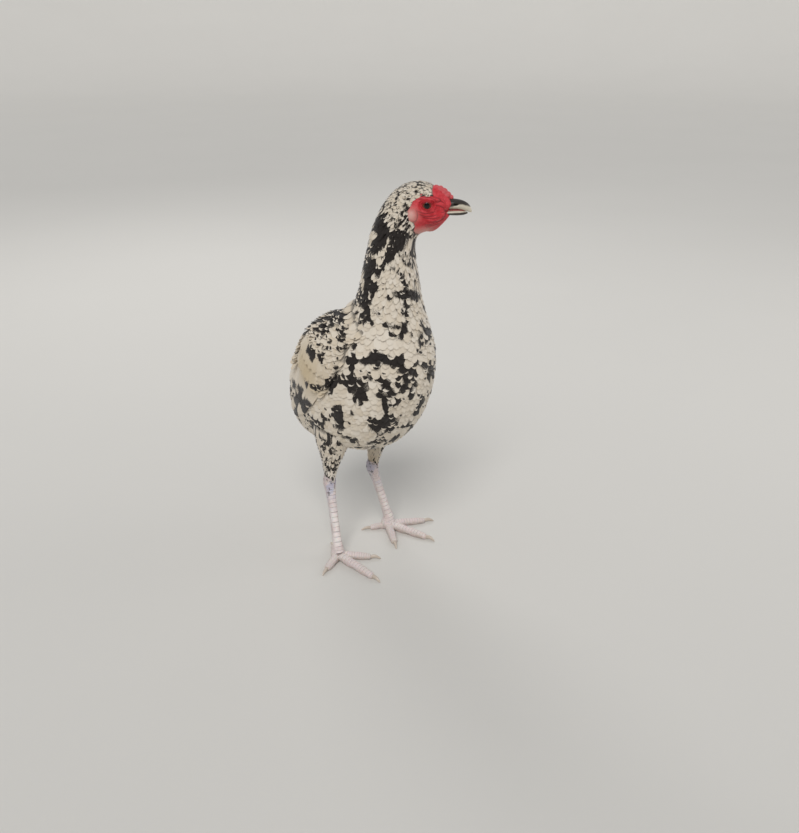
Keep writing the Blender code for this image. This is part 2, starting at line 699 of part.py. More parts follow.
def grown_copy(source):
    """A copy of the object a gap larger all round, to cut with."""
    mesh = source.data.copy()
    bm = bmesh.new()
    bm.from_mesh(mesh)
    bm.normal_update()
    for vert in bm.verts:
        vert.co += vert.normal * GAP
    bm.to_mesh(mesh)
    bm.free()
    made = bpy.data.objects.new("grown", mesh)
    collection().objects.link(made)
    return made


def eye_finish():
    return material("eye_glass", "6B4A33", 0.1)


def rest_on_origin():
    """Moves everything so that the middle of the box round it is over the origin and it rests at zero."""
    points = [vert.co for made in collection().objects for vert in made.data.vertices]
    xs, ys, zs = zip(*points)
    shift = Vector((-(min(xs) + max(xs)) / 2, -(min(ys) + max(ys)) / 2, -min(zs)))
    for made in collection().objects:
        made.data.transform(Matrix.Translation(shift))


def build():
    clear_scene()
    body_length("torso", 0, NECK_CUT, TORSO_STEPS, plumage())
    body_length("neck_lower", NECK_CUT + NECK_GAP, MID_NECK_CUT, NECK_STEPS, plumage())
    body_length("neck_upper", MID_NECK_CUT + MID_NECK_GAP, HEAD_CUT, NECK_STEPS, plumage())
    make_head()
    for side, sign in (("right", -1), ("left", 1)):
        make_wing("wing_" + side, sign)
        make_leg(side)
    make_tail("tail")
    rest_on_origin()


build()
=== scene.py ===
"""The looks of a standing game-type hen, life size, in metres, with +Z up.

She faces -Y, her left side is +X, and her head is turned to her left. One skin carries everything. Over
it lie her feathers, each a thin curved vane with its root in the skin. Every place is worked out from
her own form: sections along the body, neck and head, lines along each wing, and tubes along the legs.
"""
import json
from math import cos, pi, radians, sin

import bmesh
import bpy
import numpy as np
from mathutils import Matrix, Vector
from mathutils.kdtree import KDTree

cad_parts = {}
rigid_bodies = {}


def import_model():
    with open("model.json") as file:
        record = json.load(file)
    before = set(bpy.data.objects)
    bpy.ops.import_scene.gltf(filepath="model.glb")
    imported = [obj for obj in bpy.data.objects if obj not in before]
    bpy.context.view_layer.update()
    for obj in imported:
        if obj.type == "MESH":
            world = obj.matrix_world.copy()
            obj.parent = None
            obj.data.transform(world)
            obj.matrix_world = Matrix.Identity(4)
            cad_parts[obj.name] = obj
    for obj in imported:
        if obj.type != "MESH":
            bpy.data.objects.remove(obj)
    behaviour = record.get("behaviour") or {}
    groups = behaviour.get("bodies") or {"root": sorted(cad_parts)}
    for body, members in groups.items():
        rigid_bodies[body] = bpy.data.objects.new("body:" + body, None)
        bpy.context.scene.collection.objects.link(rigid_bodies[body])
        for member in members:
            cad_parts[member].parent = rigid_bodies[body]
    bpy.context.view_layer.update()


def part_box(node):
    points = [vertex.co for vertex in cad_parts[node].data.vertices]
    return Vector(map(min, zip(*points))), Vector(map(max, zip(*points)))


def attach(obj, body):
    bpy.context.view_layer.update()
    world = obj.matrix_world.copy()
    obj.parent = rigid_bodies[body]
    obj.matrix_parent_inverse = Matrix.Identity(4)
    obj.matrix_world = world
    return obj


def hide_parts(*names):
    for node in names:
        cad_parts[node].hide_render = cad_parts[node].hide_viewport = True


bl_info = {
    "name": "Standing game hen",
    "version": (1, 0, 0),
    "blender": (4, 5, 0),
    "location": "3D View > Sidebar > Hen",
    "description": "Dresses the solid model of a hen with skin, feathers, scales and horn",
    "category": "Object",
}

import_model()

# Her form, the same as the solids'. Forward is measured from the feet, heights from the floor.
NECK_AXIS = 0.062               # how far in front of the feet the neck stands
HEAD_TURN = radians(48)
EYE_AT = (0.1020, 0.0142, 0.4857)
EYE_RADIUS = 0.0080
FORM_SECTIONS = np.array((
    # back forward, back height, front forward, front height, half width, share of the head's turn
    (-0.118, 0.176, -0.104, 0.162, 0.010, 0.00),
    (-0.118, 0.196, -0.084, 0.152, 0.032, 0.00),
    (-0.108, 0.228, -0.041, 0.150, 0.052, 0.00),
    (-0.092, 0.260, 0.007, 0.156, 0.064, 0.00),
    (-0.070, 0.290, 0.052, 0.172, 0.070, 0.00),
    (-0.047, 0.313, 0.084, 0.206, 0.071, 0.00),
    (-0.025, 0.331, 0.101, 0.248, 0.069, 0.00),
    (-0.005, 0.342, 0.107, 0.291, 0.062, 0.00),
    (0.012, 0.356, 0.103, 0.331, 0.050, 0.00),
    (0.021, 0.381, 0.097, 0.364, 0.041, 0.10),
    (0.027, 0.406, 0.094, 0.394, 0.035, 0.30),
    (0.033, 0.434, 0.090, 0.424, 0.030, 0.60),
    (0.039, 0.457, 0.091, 0.443, 0.0265, 0.85),
    (0.047, 0.4745, 0.096, 0.4490, 0.0240, 1.00),
    (0.055, 0.488, 0.1035, 0.4535, 0.0225, 1.00),
    (0.065, 0.499, 0.1110, 0.4560, 0.0215, 1.00),
    (0.078, 0.507, 0.1175, 0.4590, 0.0208, 1.00),
    (0.093, 0.510, 0.1230, 0.4635, 0.0195, 1.00),
    (0.107, 0.507, 0.1270, 0.4680, 0.0165, 1.00),
    (0.119, 0.500, 0.1295, 0.4710, 0.0130, 1.00),
    (0.128, 0.492, 0.1315, 0.4725, 0.0100, 1.00),
))
LAST_SECTION = len(FORM_SECTIONS) - 1
BACK_SQUARENESS = 0.74
BREAST_SQUARENESS = 0.90
JAW_PINCH = 0.28
CROWN_FLATNESS = 0.16
NECK_START = 8.35               # section numbers where the neck and the head start
HEAD_START = 12.9
FLANK_LIMIT = 0.96
BACK_EDGE = (0.86, 0.97)        # between these shares of the flank the wing sinks into her back
HALVINGS = 22                   # steps of the search for the section at a place
RUMP_RUN = np.array((0.016, 0.022))     # how far the form runs on behind the first section, a section

WING_TOP = np.array((0.040, 0.341))
WING_AXIS = np.array((-0.119, -0.152)) / np.hypot(0.119, 0.152)
WING_ACROSS = np.array((WING_AXIS[1], -WING_AXIS[0]))
PAD_FRONT = 0.006
PAD_LENGTH = 0.128
PAD_DORSAL = 0.043
PAD_VENTRAL = 0.034
PAD_LIFT = 0.0205
LEAST_LIFT = 0.0026
PAD_BLUNTNESS = 0.45
PAD_FULLNESS = 2.4

TAIL_ROOT = Vector((0.0, 0.104, 0.182))
TAIL_DOWN = Vector((0.17, 0.42, -0.89)).normalized()
TAIL_SIDE = Vector((1.0, -0.06, 0.16)).normalized()
TAIL_OUT = TAIL_SIDE.cross(TAIL_DOWN).normalized()
TAIL_LENGTH = 0.072

# The foot's place as x and forward, then the hock and the top of the thigh as x, forward and height.
LEGS = {
    "right": ((-0.0526, 0.008), (-0.0400, -0.022, 0.102), (-0.043, -0.006, 0.200)),
    "left": ((0.0526, -0.008), (0.0380, -0.024, 0.098), (0.043, -0.010, 0.198)),
}
TOES = {
    "right": {"inner": (-0.0105, 0.0493, 0.0058), "middle": (-0.0491, 0.0918, 0.0062),
              "outer": (-0.0953, 0.0288, 0.0057), "back": (-0.0360, -0.0290, 0.0050)},
    "left": {"inner": (0.0217, 0.0451, 0.0058), "middle": (0.0749, 0.0662, 0.0062),
             "outer": (0.1135, 0.0239, 0.0057), "back": (0.0180, -0.0270, 0.0050)},
}
ANKLE_HEIGHT = 0.022
SHANK_RADIUS = 0.0060
HOCK_RADIUS = 0.0088
CLAW_LENGTH = 0.013


def hex_linear(text):
    """A colour written as sRGB hex, as linear red, green, blue and alpha."""
    def linear(channel):
        value = int(channel, 16) / 255
        return value / 12.92 if value <= 0.04045 else ((value + 0.055) / 1.055) ** 2.4
    return (linear(text[0:2]), linear(text[2:4]), linear(text[4:6]), 1.0)


def colour_property(name, text, says):
    return bpy.props.FloatVectorProperty(name=name, description=says, subtype="COLOR", size=4, min=0, max=1,
                                         default=hex_linear(text))


def length_property(name, metres, says):
    return bpy.props.FloatProperty(name=name, description=says, unit="LENGTH", min=0, default=metres)


class HenSizes(bpy.types.PropertyGroup):
    body_coat: length_property("Body coat", 0.0042, "How deep the skin lies under the body's feather tips")
    neck_coat: length_property("Neck coat", 0.0030, "How deep the skin lies under the neck's feather tips")
    crown_coat: length_property("Crown coat", 0.0014, "How deep the skin lies under the crown's feathers")
    breast_feather: length_property("Breast feather", 0.0182, "Length of a feather on the breast")
    neck_feather: length_property("Neck feather", 0.0135, "Length of a feather on the neck")
    crown_feather: length_property("Crown feather", 0.0056, "Length of a feather on the crown")
    thigh_feather: length_property("Thigh feather", 0.0115, "Length of a feather on the thigh")
    vane_thickness: length_property("Vane thickness", 0.00030, "How thick a vane is along its middle")
    scute_rise: length_property("Scute rise", 0.00080, "How far a leg scale's lower edge stands up")
    seed: bpy.props.IntProperty(name="Seed", description="Which draw of feathers is made", default=7, min=0)


class HenColours(bpy.types.PropertyGroup):
    white: colour_property("White", "EEE6DA", "The palest feathers")
    cream: colour_property("Cream", "D9CAB4", "Aged, creamy feathers")
    peach: colour_property("Peach", "D0BA92", "The warm patch on the folded wing")
    black: colour_property("Black", "1D1510", "Black-brown feathers")
    down: colour_property("Down", "8B8378", "Grey down at the roots of the feathers")
    face: colour_property("Face", "C9222E", "Bare skin of the face")
    lobe: colour_property("Ear lobe", "D8A69C", "Pale skin at the ear and under the throat")
    comb: colour_property("Comb", "C8434C", "The low comb")
    leg: colour_property("Leg", "DACBC8", "Scales of shank and toes")
    lilac: colour_property("Lilac", "A3A3BD", "Bluish bloom on the upper shank")
    horn_dark: colour_property("Dark horn", "2E2722", "The ridge of the beak")
    horn_pale: colour_property("Pale horn", "D8CFBC", "The beak's sides and the claws")
    iris: colour_property("Iris", "6E2A17", "The ring round the pupil")


def sizes():
    return bpy.context.scene.hen_sizes


def colours():
    return bpy.context.scene.hen_colours


def along_sections(table, t):
    """Catmull-Rom values of a table's columns at t, where whole numbers are its rows."""
    t = np.asarray(t, float)
    last = len(table) - 1
    i = np.clip(np.floor(t).astype(int), 0, last - 1)
    f = (t - i)[..., None]
    before, start, end, after = (table[np.clip(i + k, 0, last)] for k in (-1, 0, 1, 2))
    return 0.5 * (2 * start + (end - before) * f + (2 * before - 5 * start + 4 * end - after) * f ** 2
                  + (3 * start - before - 3 * end + after) * f ** 3)


def row_axis(row):
    """The middle of a section, seen from the side, and half the way from its first edge to its second."""
    return (row[..., 0:2] + row[..., 2:4]) / 2, (row[..., 2:4] - row[..., 0:2]) / 2


def hill(*parts):
    """1 where each value meets its middle, and a smooth fall to 0 over its reach."""
    return np.exp(-sum(((value - middle) / reach) ** 2 for value, middle, reach in parts))


def head_place(forward, sideways, height, turn=1.0):
    """Places given in the head's own turned plane, in the body's frame. Sideways is to her left."""
    angle = HEAD_TURN * np.asarray(turn, float)
    reach = np.asarray(forward, float) - NECK_AXIS
    parts = (reach * np.sin(angle) + sideways * np.cos(angle),
             -NECK_AXIS - reach * np.cos(angle) + sideways * np.sin(angle), height + 0 * angle)
    return np.stack(np.broadcast_arrays(*parts), axis=-1) + SHIFT


def frame_shift():
    """How far the solids' frame is moved from the feet, found from where the right eye is."""
    low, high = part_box("eye_right")
    return np.array((low + high) / 2) - head_place(EYE_AT[0], -EYE_AT[1], EYE_AT[2])


SHIFT = np.zeros(3)
SHIFT = frame_shift()


def ramp(low, high, value):
    """0 below low, 1 above high, and a smooth rise between."""
    share = np.clip((value - low) / (high - low), 0, 1)
    return share * share * (3 - 2 * share)


def squareness(t, front):
    """How boxy a section is: boxy along the back and the crown, and pinched under the jaw."""
    trunk = np.clip(t / 2.5, 0, 1) * (1 - np.clip((t - 6.8) / 2.0, 0, 1))
    skull = np.clip((t - 12.4) / 2.0, 0, 1)
    ahead = 1 - (1 - BREAST_SQUARENESS) * trunk + JAW_PINCH * skull
    behind = 1 - (1 - BACK_SQUARENESS) * trunk - CROWN_FLATNESS * skull
    return np.where(front > 0, ahead, behind)


def section_place(t, u, grow=0.0):
    """Forward, sideways and height in the section's own plane, and its share of the head's turn."""
    row = along_sections(FORM_SECTIONS, t)
    c = np.cos(2 * pi * u)
    s = np.sin(2 * pi * u)
    power = 2 / squareness(t, c)
    reach = (np.abs(c) ** power + np.abs(s) ** power) ** (1 / power)
    middle, half = row_axis(row)
    grown = 1 + grow / np.linalg.norm(half, axis=-1)
    along = middle + half * (grown * c / reach)[..., None]
    return along[..., 0], (row[..., 4] + grow) * s / reach, along[..., 1], row[..., 5]


def body_surface(t, u, grow=0.0):
    """The outside of body, neck and head. t counts sections from the tail, u goes round from the front."""
    over = np.minimum(t, 0.0)
    forward, sideways, height, turn = section_place(np.clip(t, 0.0, LAST_SECTION), u, grow)
    return head_place(forward + RUMP_RUN[0] * over, sideways, height + RUMP_RUN[1] * over, turn)


def flank_row(forward, height):
    """The section that passes through this place, seen from the side, its half length there, and how far
    along it the place is, from -1 at the back to 1 at the front."""
    at = np.stack((forward, height), axis=-1)
    low = np.zeros(forward.shape)
    high = np.full(forward.shape, NECK_START + 0.6)
    for _ in range(HALVINGS):
        t = (low + high) / 2
        row = along_sections(FORM_SECTIONS, t)
        middle, half = row_axis(row)
        away = at - middle
        above = half[..., 0] * away[..., 1] - half[..., 1] * away[..., 0] > 0
        low = np.where(above, t, low)
        high = np.where(above, high, t)
    return t, row, half, (away * half).sum(-1) / (half ** 2).sum(-1)


def flank_surface(forward, height, lift, side, sunk=0.0):
    """The point of her flank that shows at this place from the side, lifted off the body's surface. The
    lift sinks to the other value towards the ridge of her back."""
    t, row, half, across = flank_row(forward, height)
    reach = np.linalg.norm(half, axis=-1)
    lift = lift + (sunk - lift) * ramp(*BACK_EDGE, np.abs(across))
    held = np.clip(across, -FLANK_LIMIT, FLANK_LIMIT)
    power = squareness(t, held)
    share = (1 - np.abs(held) ** (2 / power)) ** (power / 2)
    along = row_axis(row)[0] + half * (across + lift * held / reach)[..., None]
    return np.stack((side * (row[..., 4] + lift) * share, -along[..., 0], along[..., 1]), axis=-1) + SHIFT


def wing_place(a, b):
    """Forward and height of a place along and across the wing."""
    return tuple(WING_TOP[i] + WING_AXIS[i] * a + WING_ACROSS[i] * b for i in (0, 1))


def pad_spread(v):
    """How wide the wing is at this share of its length, next to its widest."""
    return np.clip(1 - (2 * v - 1) ** 2, 0, 1) ** PAD_BLUNTNESS


def wing_height(a, b):
    """How far the wing's own surface stands off the body at this place along and across it."""
    v = np.clip((a + PAD_FRONT) / PAD_LENGTH, 1e-4, 1 - 1e-4)
    spread = pad_spread(v)
    width = np.where(b > 0, PAD_DORSAL, PAD_VENTRAL) * spread
    edge = np.clip(1 - (np.abs(b) / width) ** PAD_FULLNESS, 0, 1) ** 0.75
    rise = PAD_LIFT * (1 - 0.72 * np.clip(v - 0.15, 0, 1) / 0.85) * spread * edge
    return np.sqrt(rise ** 2 + LEAST_LIFT ** 2)


def wing_surface(side):
    """The function from places along and across a wing to points on it."""
    def surface(a, b):
        return flank_surface(*wing_place(a, b), wing_height(a, b), side)
    return surface


def wing_share(points):
    """Where points on her flank lie along and across the wing on their side."""
    away = np.stack((SHIFT[1] - points[..., 1], points[..., 2] - SHIFT[2]), axis=-1) - WING_TOP
    return away @ WING_AXIS, away @ WING_ACROSS


class Lattice:
    """Smooth noise from 0 to 1 with cells of a given size, the same on every run."""
    SIDE = 24

    def __init__(self, seed):
        self.values = np.random.default_rng(seed).random((self.SIDE, self.SIDE, self.SIDE))

    def at(self, points, cell):
        scaled = points / cell + 1000
        i = np.floor(scaled).astype(int)
        f = scaled - i
        f = f * f * (3 - 2 * f)
        total = 0
        for corner in np.ndindex(2, 2, 2):
            share = np.prod(np.where(corner, f, 1 - f), axis=-1)
            x, y, z = (np.moveaxis(i + corner, -1, 0)) % self.SIDE
            total = total + share * self.values[x, y, z]
        return total


MOTTLE = Lattice(11)
FINE_MOTTLE = Lattice(23)

# The camera, from its place over the floor, as the picture's own frame gives it.
IMAGE_WIDTH = 799
IMAGE_HEIGHT = 833
FOCAL_PIXELS = 920
CAMERA_HEIGHT = 0.69
CAMERA_PITCH = radians(24)
VIEW_TURN = radians(42)         # she is seen from this far round to her right
FEET_AHEAD = 1.11411            # from the camera to the middle of her feet, ahead and to the left
FEET_LEFT = 0.05049
SENSOR = 36.0
VIEW_RIGHT = np.array((cos(VIEW_TURN), -sin(VIEW_TURN), 0))
VIEW_AHEAD = np.array((sin(VIEW_TURN), cos(VIEW_TURN), 0))
CAMERA_AT = VIEW_RIGHT * FEET_LEFT - VIEW_AHEAD * FEET_AHEAD + SHIFT * (1, 1, 0) + (0, 0, CAMERA_HEIGHT)


def picture_place(points):
    """Where points are seen in the picture, in its pixels from the upper left corner."""
    away = points - CAMERA_AT
    level, high = away @ VIEW_AHEAD, away[..., 2]
    scale = FOCAL_PIXELS / (level * cos(CAMERA_PITCH) - high * sin(CAMERA_PITCH))
    up = high * cos(CAMERA_PITCH) + level * sin(CAMERA_PITCH)
    return IMAGE_WIDTH / 2 + scale * (away @ VIEW_RIGHT), IMAGE_HEIGHT / 2 - scale * up


# Marks that stand out on her near side, as strokes where the picture shows them: x and y of both ends,
# half width, and 1 for black or -1 for pale.
STROKES = (
    # hackle and front of the neck
    (381, 226, 377, 248, 4.0, 1), (401, 241, 391, 256, 3.0, 1), (390, 256, 379, 271, 2.8, 1),
    (370, 262, 366, 290, 2.2, 1), (376, 283, 372, 300, 1.6, 1), (401, 281, 406, 285, 1.6, 1),
    (397, 294, 417, 297, 3.6, 1), (405, 300, 404, 317, 2.3, 1), (413, 262, 412, 268, 1.3, 1),
    (364, 314, 364, 318, 2.6, 1), (378, 324, 383, 322, 1.3, 1), (387, 331, 391, 335, 1.6, 1),
    (397, 339, 397, 343, 1.6, 1), (384, 268, 394, 284, 5.5, -1), (378, 300, 390, 312, 5.5, -1),
    (396, 262, 404, 270, 4.0, -1), (372, 233, 369, 245, 1.5, -1), (388, 240, 384, 251, 1.6, -1),
    (363, 268, 361, 281, 1.4, -1), (381, 252, 378, 262, 1.3, -1),
    # her left shoulder, seen along its edge
    (420, 321, 430, 337, 1.5, 1), (411, 337, 414, 330, 1.1, 1), (427, 341, 423, 350, 1.2, 1),
    (420, 360, 426, 366, 1.1, 1), (422, 394, 417, 412, 1.7, 1), (410, 399, 414, 394, 1.0, 1),
    # breast: a band, a round pale feather in a ring, a V below it, and a small ring
    (350, 358, 370, 362, 3.0, 1), (374, 356, 388, 359, 4.2, 1), (388, 358, 400, 364, 3.0, 1),
    (399, 362, 404, 371, 2.0, 1), (350, 360, 351, 378, 2.2, 1), (352, 379, 362, 385, 1.8, 1),
    (366, 362, 368, 372, 1.9, 1), (357, 366, 358, 374, 3.2, -1), (371, 379, 358, 402, 4.8, 1),
    (377, 369, 382, 380, 2.4, 1), (382, 380, 392, 392, 3.4, 1), (397, 380, 399, 386, 1.6, 1),
    (399, 376, 406, 376, 1.6, 1), (406, 377, 407, 387, 1.6, 1), (399, 388, 405, 388, 1.6, 1),
    (402, 381, 402, 383, 2.2, -1), (374, 378, 372, 386, 1.9, -1), (345, 343, 345, 348, 1.6, 1),
    (352, 332, 385, 346, 7.5, -1), (392, 345, 394, 352, 4.0, -1),
    # lower breast and belly
    (331, 381, 333, 391, 3.2, 1), (341, 382, 354, 380, 1.5, 1), (338, 411, 340, 427, 4.8, 1),
    (324, 420, 324, 423, 2.6, 1), (367, 422, 383, 422, 3.8, 1), (384, 404, 386, 416, 1.8, 1),
    (373, 427, 377, 430, 2.2, 1), (402, 427, 411, 425, 1.4, 1), (393, 406, 400, 400, 1.2, 1),
    (350, 408, 352, 414, 1.3, 1), (340, 392, 350, 404, 6.0, -1), (360, 408, 380, 412, 6.5, -1),
    (395, 410, 408, 414, 5.0, -1), (345, 430, 360, 432, 5.0, -1), (405, 345, 410, 360, 4.5, -1),
    # folded right wing: scallops at the shoulder, tips of the coverts, patches over the flight feathers
    (303, 320, 316, 316, 1.5, 1), (305, 327, 313, 322, 1.3, 1), (318, 321, 330, 317, 1.2, 1),
    (297, 333, 304, 327, 1.4, 1), (316, 330, 322, 326, 1.0, 1), (290, 345, 296, 336, 1.6, 1),
    (308, 351, 311, 356, 2.4, 1), (316, 352, 320, 359, 2.2, 1), (304, 334, 308, 333, 0.9, 1),
    (334, 330, 335, 352, 2.4, -1), (335, 352, 329, 372, 2.6, -1), (339, 336, 338, 348, 1.6, 1),
    (292, 360, 306, 376, 9.0, -1), (308, 384, 316, 388, 3.2, 1), (297, 399, 305, 404, 2.6, 1),
    (303, 388, 300, 396, 2.2, 1), (296, 410, 295, 425, 1.9, 1), (301, 408, 300, 418, 1.6, -1),
    (305, 415, 307, 420, 1.6, 1), (318, 377, 328, 372, 2.6, -1), (313, 395, 325, 400, 5.0, -1),
)


STROKE_FADE = 1.6               # where a stroke has faded out, in half widths from its line
SHARE_STRENGTH = 0.42           # how strongly the share of black and the strokes shift the noise
STROKE_STRENGTH = 0.42
CONTRAST = 2.6
WHOLE_FEATHER = 0.68            # how much of a feather's darkness is one value for all of it


def share_black(t, u):
    """How much of her plumage is black at a place on body, neck or head."""
    back = 0.5 - 0.5 * np.cos(2 * pi * u)
    belly = 0.17 + 0.18 * back
    breast = 0.24 + 0.22 * back
    hackle_edge = 0.46 - 0.37 * ramp(9.4, 11.2, t)
    neck = 0.24 + 0.58 * ramp(hackle_edge - 0.08, hackle_edge + 0.12, back)
    nape = 0.44 - 0.04 * back
    crown = 0.17
    body = belly + (breast - belly) * ramp(2.5, 4.6, t)
    upper = neck + (nape - neck) * ramp(12.3, 13.6, t)
    upper = upper + (crown - upper) * ramp(14.6, 16.6, t)
    return body + (upper - body) * ramp(8.0, 9.2, t)


def mark_scores(points, near):
    """How dark the strokes make these points: above 0 darker, below 0 paler. Near is 1 where she faces
    the camera."""
    x, y = picture_place(points)
    score = np.zeros(x.shape)
    for x0, y0, x1, y1, half, dark in STROKES:
        run_x, run_y = x1 - x0, y1 - y0
        share = np.clip(((x - x0) * run_x + (y - y0) * run_y) / (run_x ** 2 + run_y ** 2), 0, 1)
        reach = np.hypot(x - x0 - share * run_x, y - y0 - share * run_y) / half
        score = score + dark * np.clip(STROKE_FADE - reach, 0, 1)
    return np.clip(score, -1, 1) * near


def mottle(points, cell, fine=0.26):
    """Blotches longer than wide, from 0 to 1, with smaller ones in them."""
    tall = points * (1, 1, 0.68)
    return MOTTLE.at(tall, cell) * (1 - fine) + FINE_MOTTLE.at(tall, cell * 0.48) * fine


def darkness(points, cell, share, near):
    """0 where her plumage is pale and 1 where it is black, before each feather adds its own."""
    return mottle(points, cell) + (share - 0.5) * SHARE_STRENGTH + STROKE_STRENGTH * mark_scores(points, near)


def contrasted(dark):
    return 0.5 + CONTRAST * (dark - 0.5)


def body_darkness(t, u, points):
    """The darkness of body, neck and head. Strokes fade where the surface turns from the camera."""
    cell = 0.0125 - 0.0040 * ramp(8.0, 10.0, t) - 0.0042 * ramp(12.5, 14.5, t)
    middle = np.clip(t, 0.5, 18.5)
    out = unit(body_surface(middle, u) - body_surface(middle, u + 0.5))
    near = ramp(-0.1, 0.25, out @ ((0, 0, 0.35) - VIEW_AHEAD))
    return darkness(points, cell[..., None], share_black(t, u), near)


def thigh_darkness(points):
    return mottle(points, 0.0065) - 0.10


def nearest_on_body(places):
    """The section and the way round of the body's surface nearest to each place, for the skin's marks."""
    sections, ways = np.linspace(0.1, 19.9, 150), np.arange(64) / 64
    t, u = (grid.ravel() for grid in np.meshgrid(sections, ways, indexing="ij"))
    tree = KDTree(len(t))
    for number, point in enumerate(body_surface(t, u)):
        tree.insert(point, number)
    tree.balance()
    found = np.array([tree.find(place)[1] for place in places])
    return t[found], u[found]


# The bare face in the head's own plane: forward and height of the middle, half length and half height,
# and the tilt of the forward end upwards.
BARE_PLACES = (
    (0.1085, 0.4775, 0.0262, 0.0185, radians(-10)),
    (0.1070, 0.4640, 0.0190, 0.0115, radians(34)),
    (0.1260, 0.4840, 0.0100, 0.0180, 0.0),
    (0.1200, 0.4990, 0.0110, 0.0080, radians(-35)),
)


def bare_share(forward, height):
    """1 on the bare face, 0 under feathers, from places in the head's own plane."""
    share = np.full(np.shape(forward), -1.0)
    for f0, h0, long, high, tilt in BARE_PLACES:
        f = (forward - f0) * cos(tilt) + (height - h0) * sin(tilt)
        h = (height - h0) * cos(tilt) - (forward - f0) * sin(tilt)
        share = np.maximum(share, 1 - (np.abs(f) / long) ** 2.4 - (np.abs(h) / high) ** 2.4)
    return np.clip(0.5 + 1.2 * share, 0, 1)


def linked(name, data):
    """A new object in the scene that holds this mesh, light or camera."""
    made = bpy.data.objects.new(name, data)
    bpy.context.scene.collection.objects.link(made)
    return made


def placed_object(name, mesh):
    made = linked(name, mesh)
    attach(made, "root")
    return made


def mesh_from(name, bm):
    """A smooth mesh with its faces pointing out, from a bmesh that is freed."""
    bmesh.ops.recalc_face_normals(bm, faces=bm.faces)
    mesh = bpy.data.meshes.new(name)
    bm.to_mesh(mesh)
    bm.free()
    mesh.shade_smooth()
    return mesh


def finished(name, bm, finish):
    """A piece from a closed bmesh, with one finish."""
    made = placed_object(name, mesh_from(name, bm))
    made.data.materials.append(finish)
    return made


def rolled(around, along, surface):
    """A closed bmesh: a grid that surface(u, v), on arrays, rolls into a tube, seamed and closed."""
    bm = bmesh.new()
    bmesh.ops.create_grid(bm, x_segments=around, y_segments=along, size=0.5)
    flat = np.array([vert.co[:2] for vert in bm.verts]) + 0.5
    for vert, place in zip(bm.verts, surface(flat[:, 0], flat[:, 1])):
        vert.co = place
    bmesh.ops.remove_doubles(bm, verts=bm.verts, dist=2e-6)
    bmesh.ops.holes_fill(bm, edges=[edge for edge in bm.edges if edge.is_boundary], sides=0)
    return bm


def add_values(mesh, name, values, kind="FLOAT"):
    """Stores one value, or one colour, on each vertex."""
    layer = mesh.attributes.new(name, kind, "POINT")
    key = "color" if kind == "FLOAT_COLOR" else "value"
    layer.data.foreach_set(key, np.ascontiguousarray(values, np.float32).ravel())


def places_of(mesh):
    """The places of a mesh's vertices, one row each."""
    places = np.zeros(len(mesh.vertices) * 3)
    mesh.vertices.foreach_get("co", places)
    return places.reshape(-1, 3)


def add_skin_marks(mesh, marks, fold):
    """Stores how bare, pale, dark and comb-like the skin is, and how much painted shade it gets in folds,
    creases and gaps: one row for all vertices, or one for each."""
    count = len(mesh.vertices)
    add_values(mesh, "skin_marks", np.broadcast_to(marks, (count, 4)), "FLOAT_COLOR")
    add_values(mesh, "painted_fold_shade", np.broadcast_to(fold, count))


def add_uv(mesh, name, per_vertex):
    """A UV map in which every corner of a vertex has the same place."""
    corners = np.zeros(len(mesh.loops), np.int32)
    mesh.loops.foreach_get("vertex_index", corners)
    layer = mesh.uv_layers.new(name=name)
    layer.data.foreach_set("uv", np.ascontiguousarray(per_vertex[corners], np.float32).ravel())


def unit(vectors):
    return vectors / np.maximum(np.linalg.norm(vectors, axis=-1, keepdims=True), 1e-12)


def frame_at(surface, p, q, sign, step=1e-3):
    """A surface's point, its two slopes and its outward normal at p, q."""
    here = surface(p, q)
    slope_p = (surface(p + step, q) - surface(p - step, q)) / (2 * step)
    slope_q = (surface(p, q + step) - surface(p, q - step)) / (2 * step)
    return here, slope_p, slope_q, unit(np.cross(slope_p, slope_q)) * sign


class VaneShape:
    """The grid of one feather: v runs from root to tip, c across, and both faces share the rim."""

    def __init__(self, steps, columns, blunt_from, root_width, shaft=0.0):
        v_places = 1 - (1 - np.linspace(0, 1, steps + 1)) ** 1.35
        m = len(columns) - 1
        top_v, top_c = np.meshgrid(v_places, columns, indexing="ij")
        index = np.arange((steps + 1) * (m + 1)).reshape(steps + 1, m + 1)
        below = index.copy()
        below[1:-1, 1:-1] = np.arange((steps - 1) * (m - 1)).reshape(steps - 1, m - 1) + index.size
        under_v, under_c = np.meshgrid(v_places[1:-1], columns[1:-1], indexing="ij")
        self.v = np.concatenate((top_v.ravel(), under_v.ravel()))
        self.c = np.concatenate((top_c.ravel(), under_c.ravel()))
        self.under = np.concatenate((np.zeros(index.size), np.ones(under_v.size)))
        top = np.stack((index[:-1, :-1], index[1:, :-1], index[1:, 1:], index[:-1, 1:]), axis=-1)
        low = np.stack((below[:-1, :-1], below[:-1, 1:], below[1:, 1:], below[1:, :-1]), axis=-1)
        self.faces = np.concatenate((top.reshape(-1, 4), low.reshape(-1, 4)))
        rise = root_width + (1 - root_width) * np.sin(np.clip(self.v / 0.5, 0, 1) * pi / 2)
        tip = np.sqrt(np.clip(1 - (np.clip(self.v - blunt_from, 0, 1) / (1 - blunt_from)) ** 2.1, 0.012, 1))
        self.width = rise * tip
        self.middle = int(np.argmin(np.abs(self.v - 0.75) + np.abs(self.c)))
        self.rim = np.zeros(len(self.v), bool)
        self.rim[np.concatenate((index[0], index[-1], index[:, 0], index[:, -1]))] = True
        self.shaft = shaft * np.clip(1 - (self.c / 0.12) ** 2, 0, 1) * (1 - 0.7 * self.v)


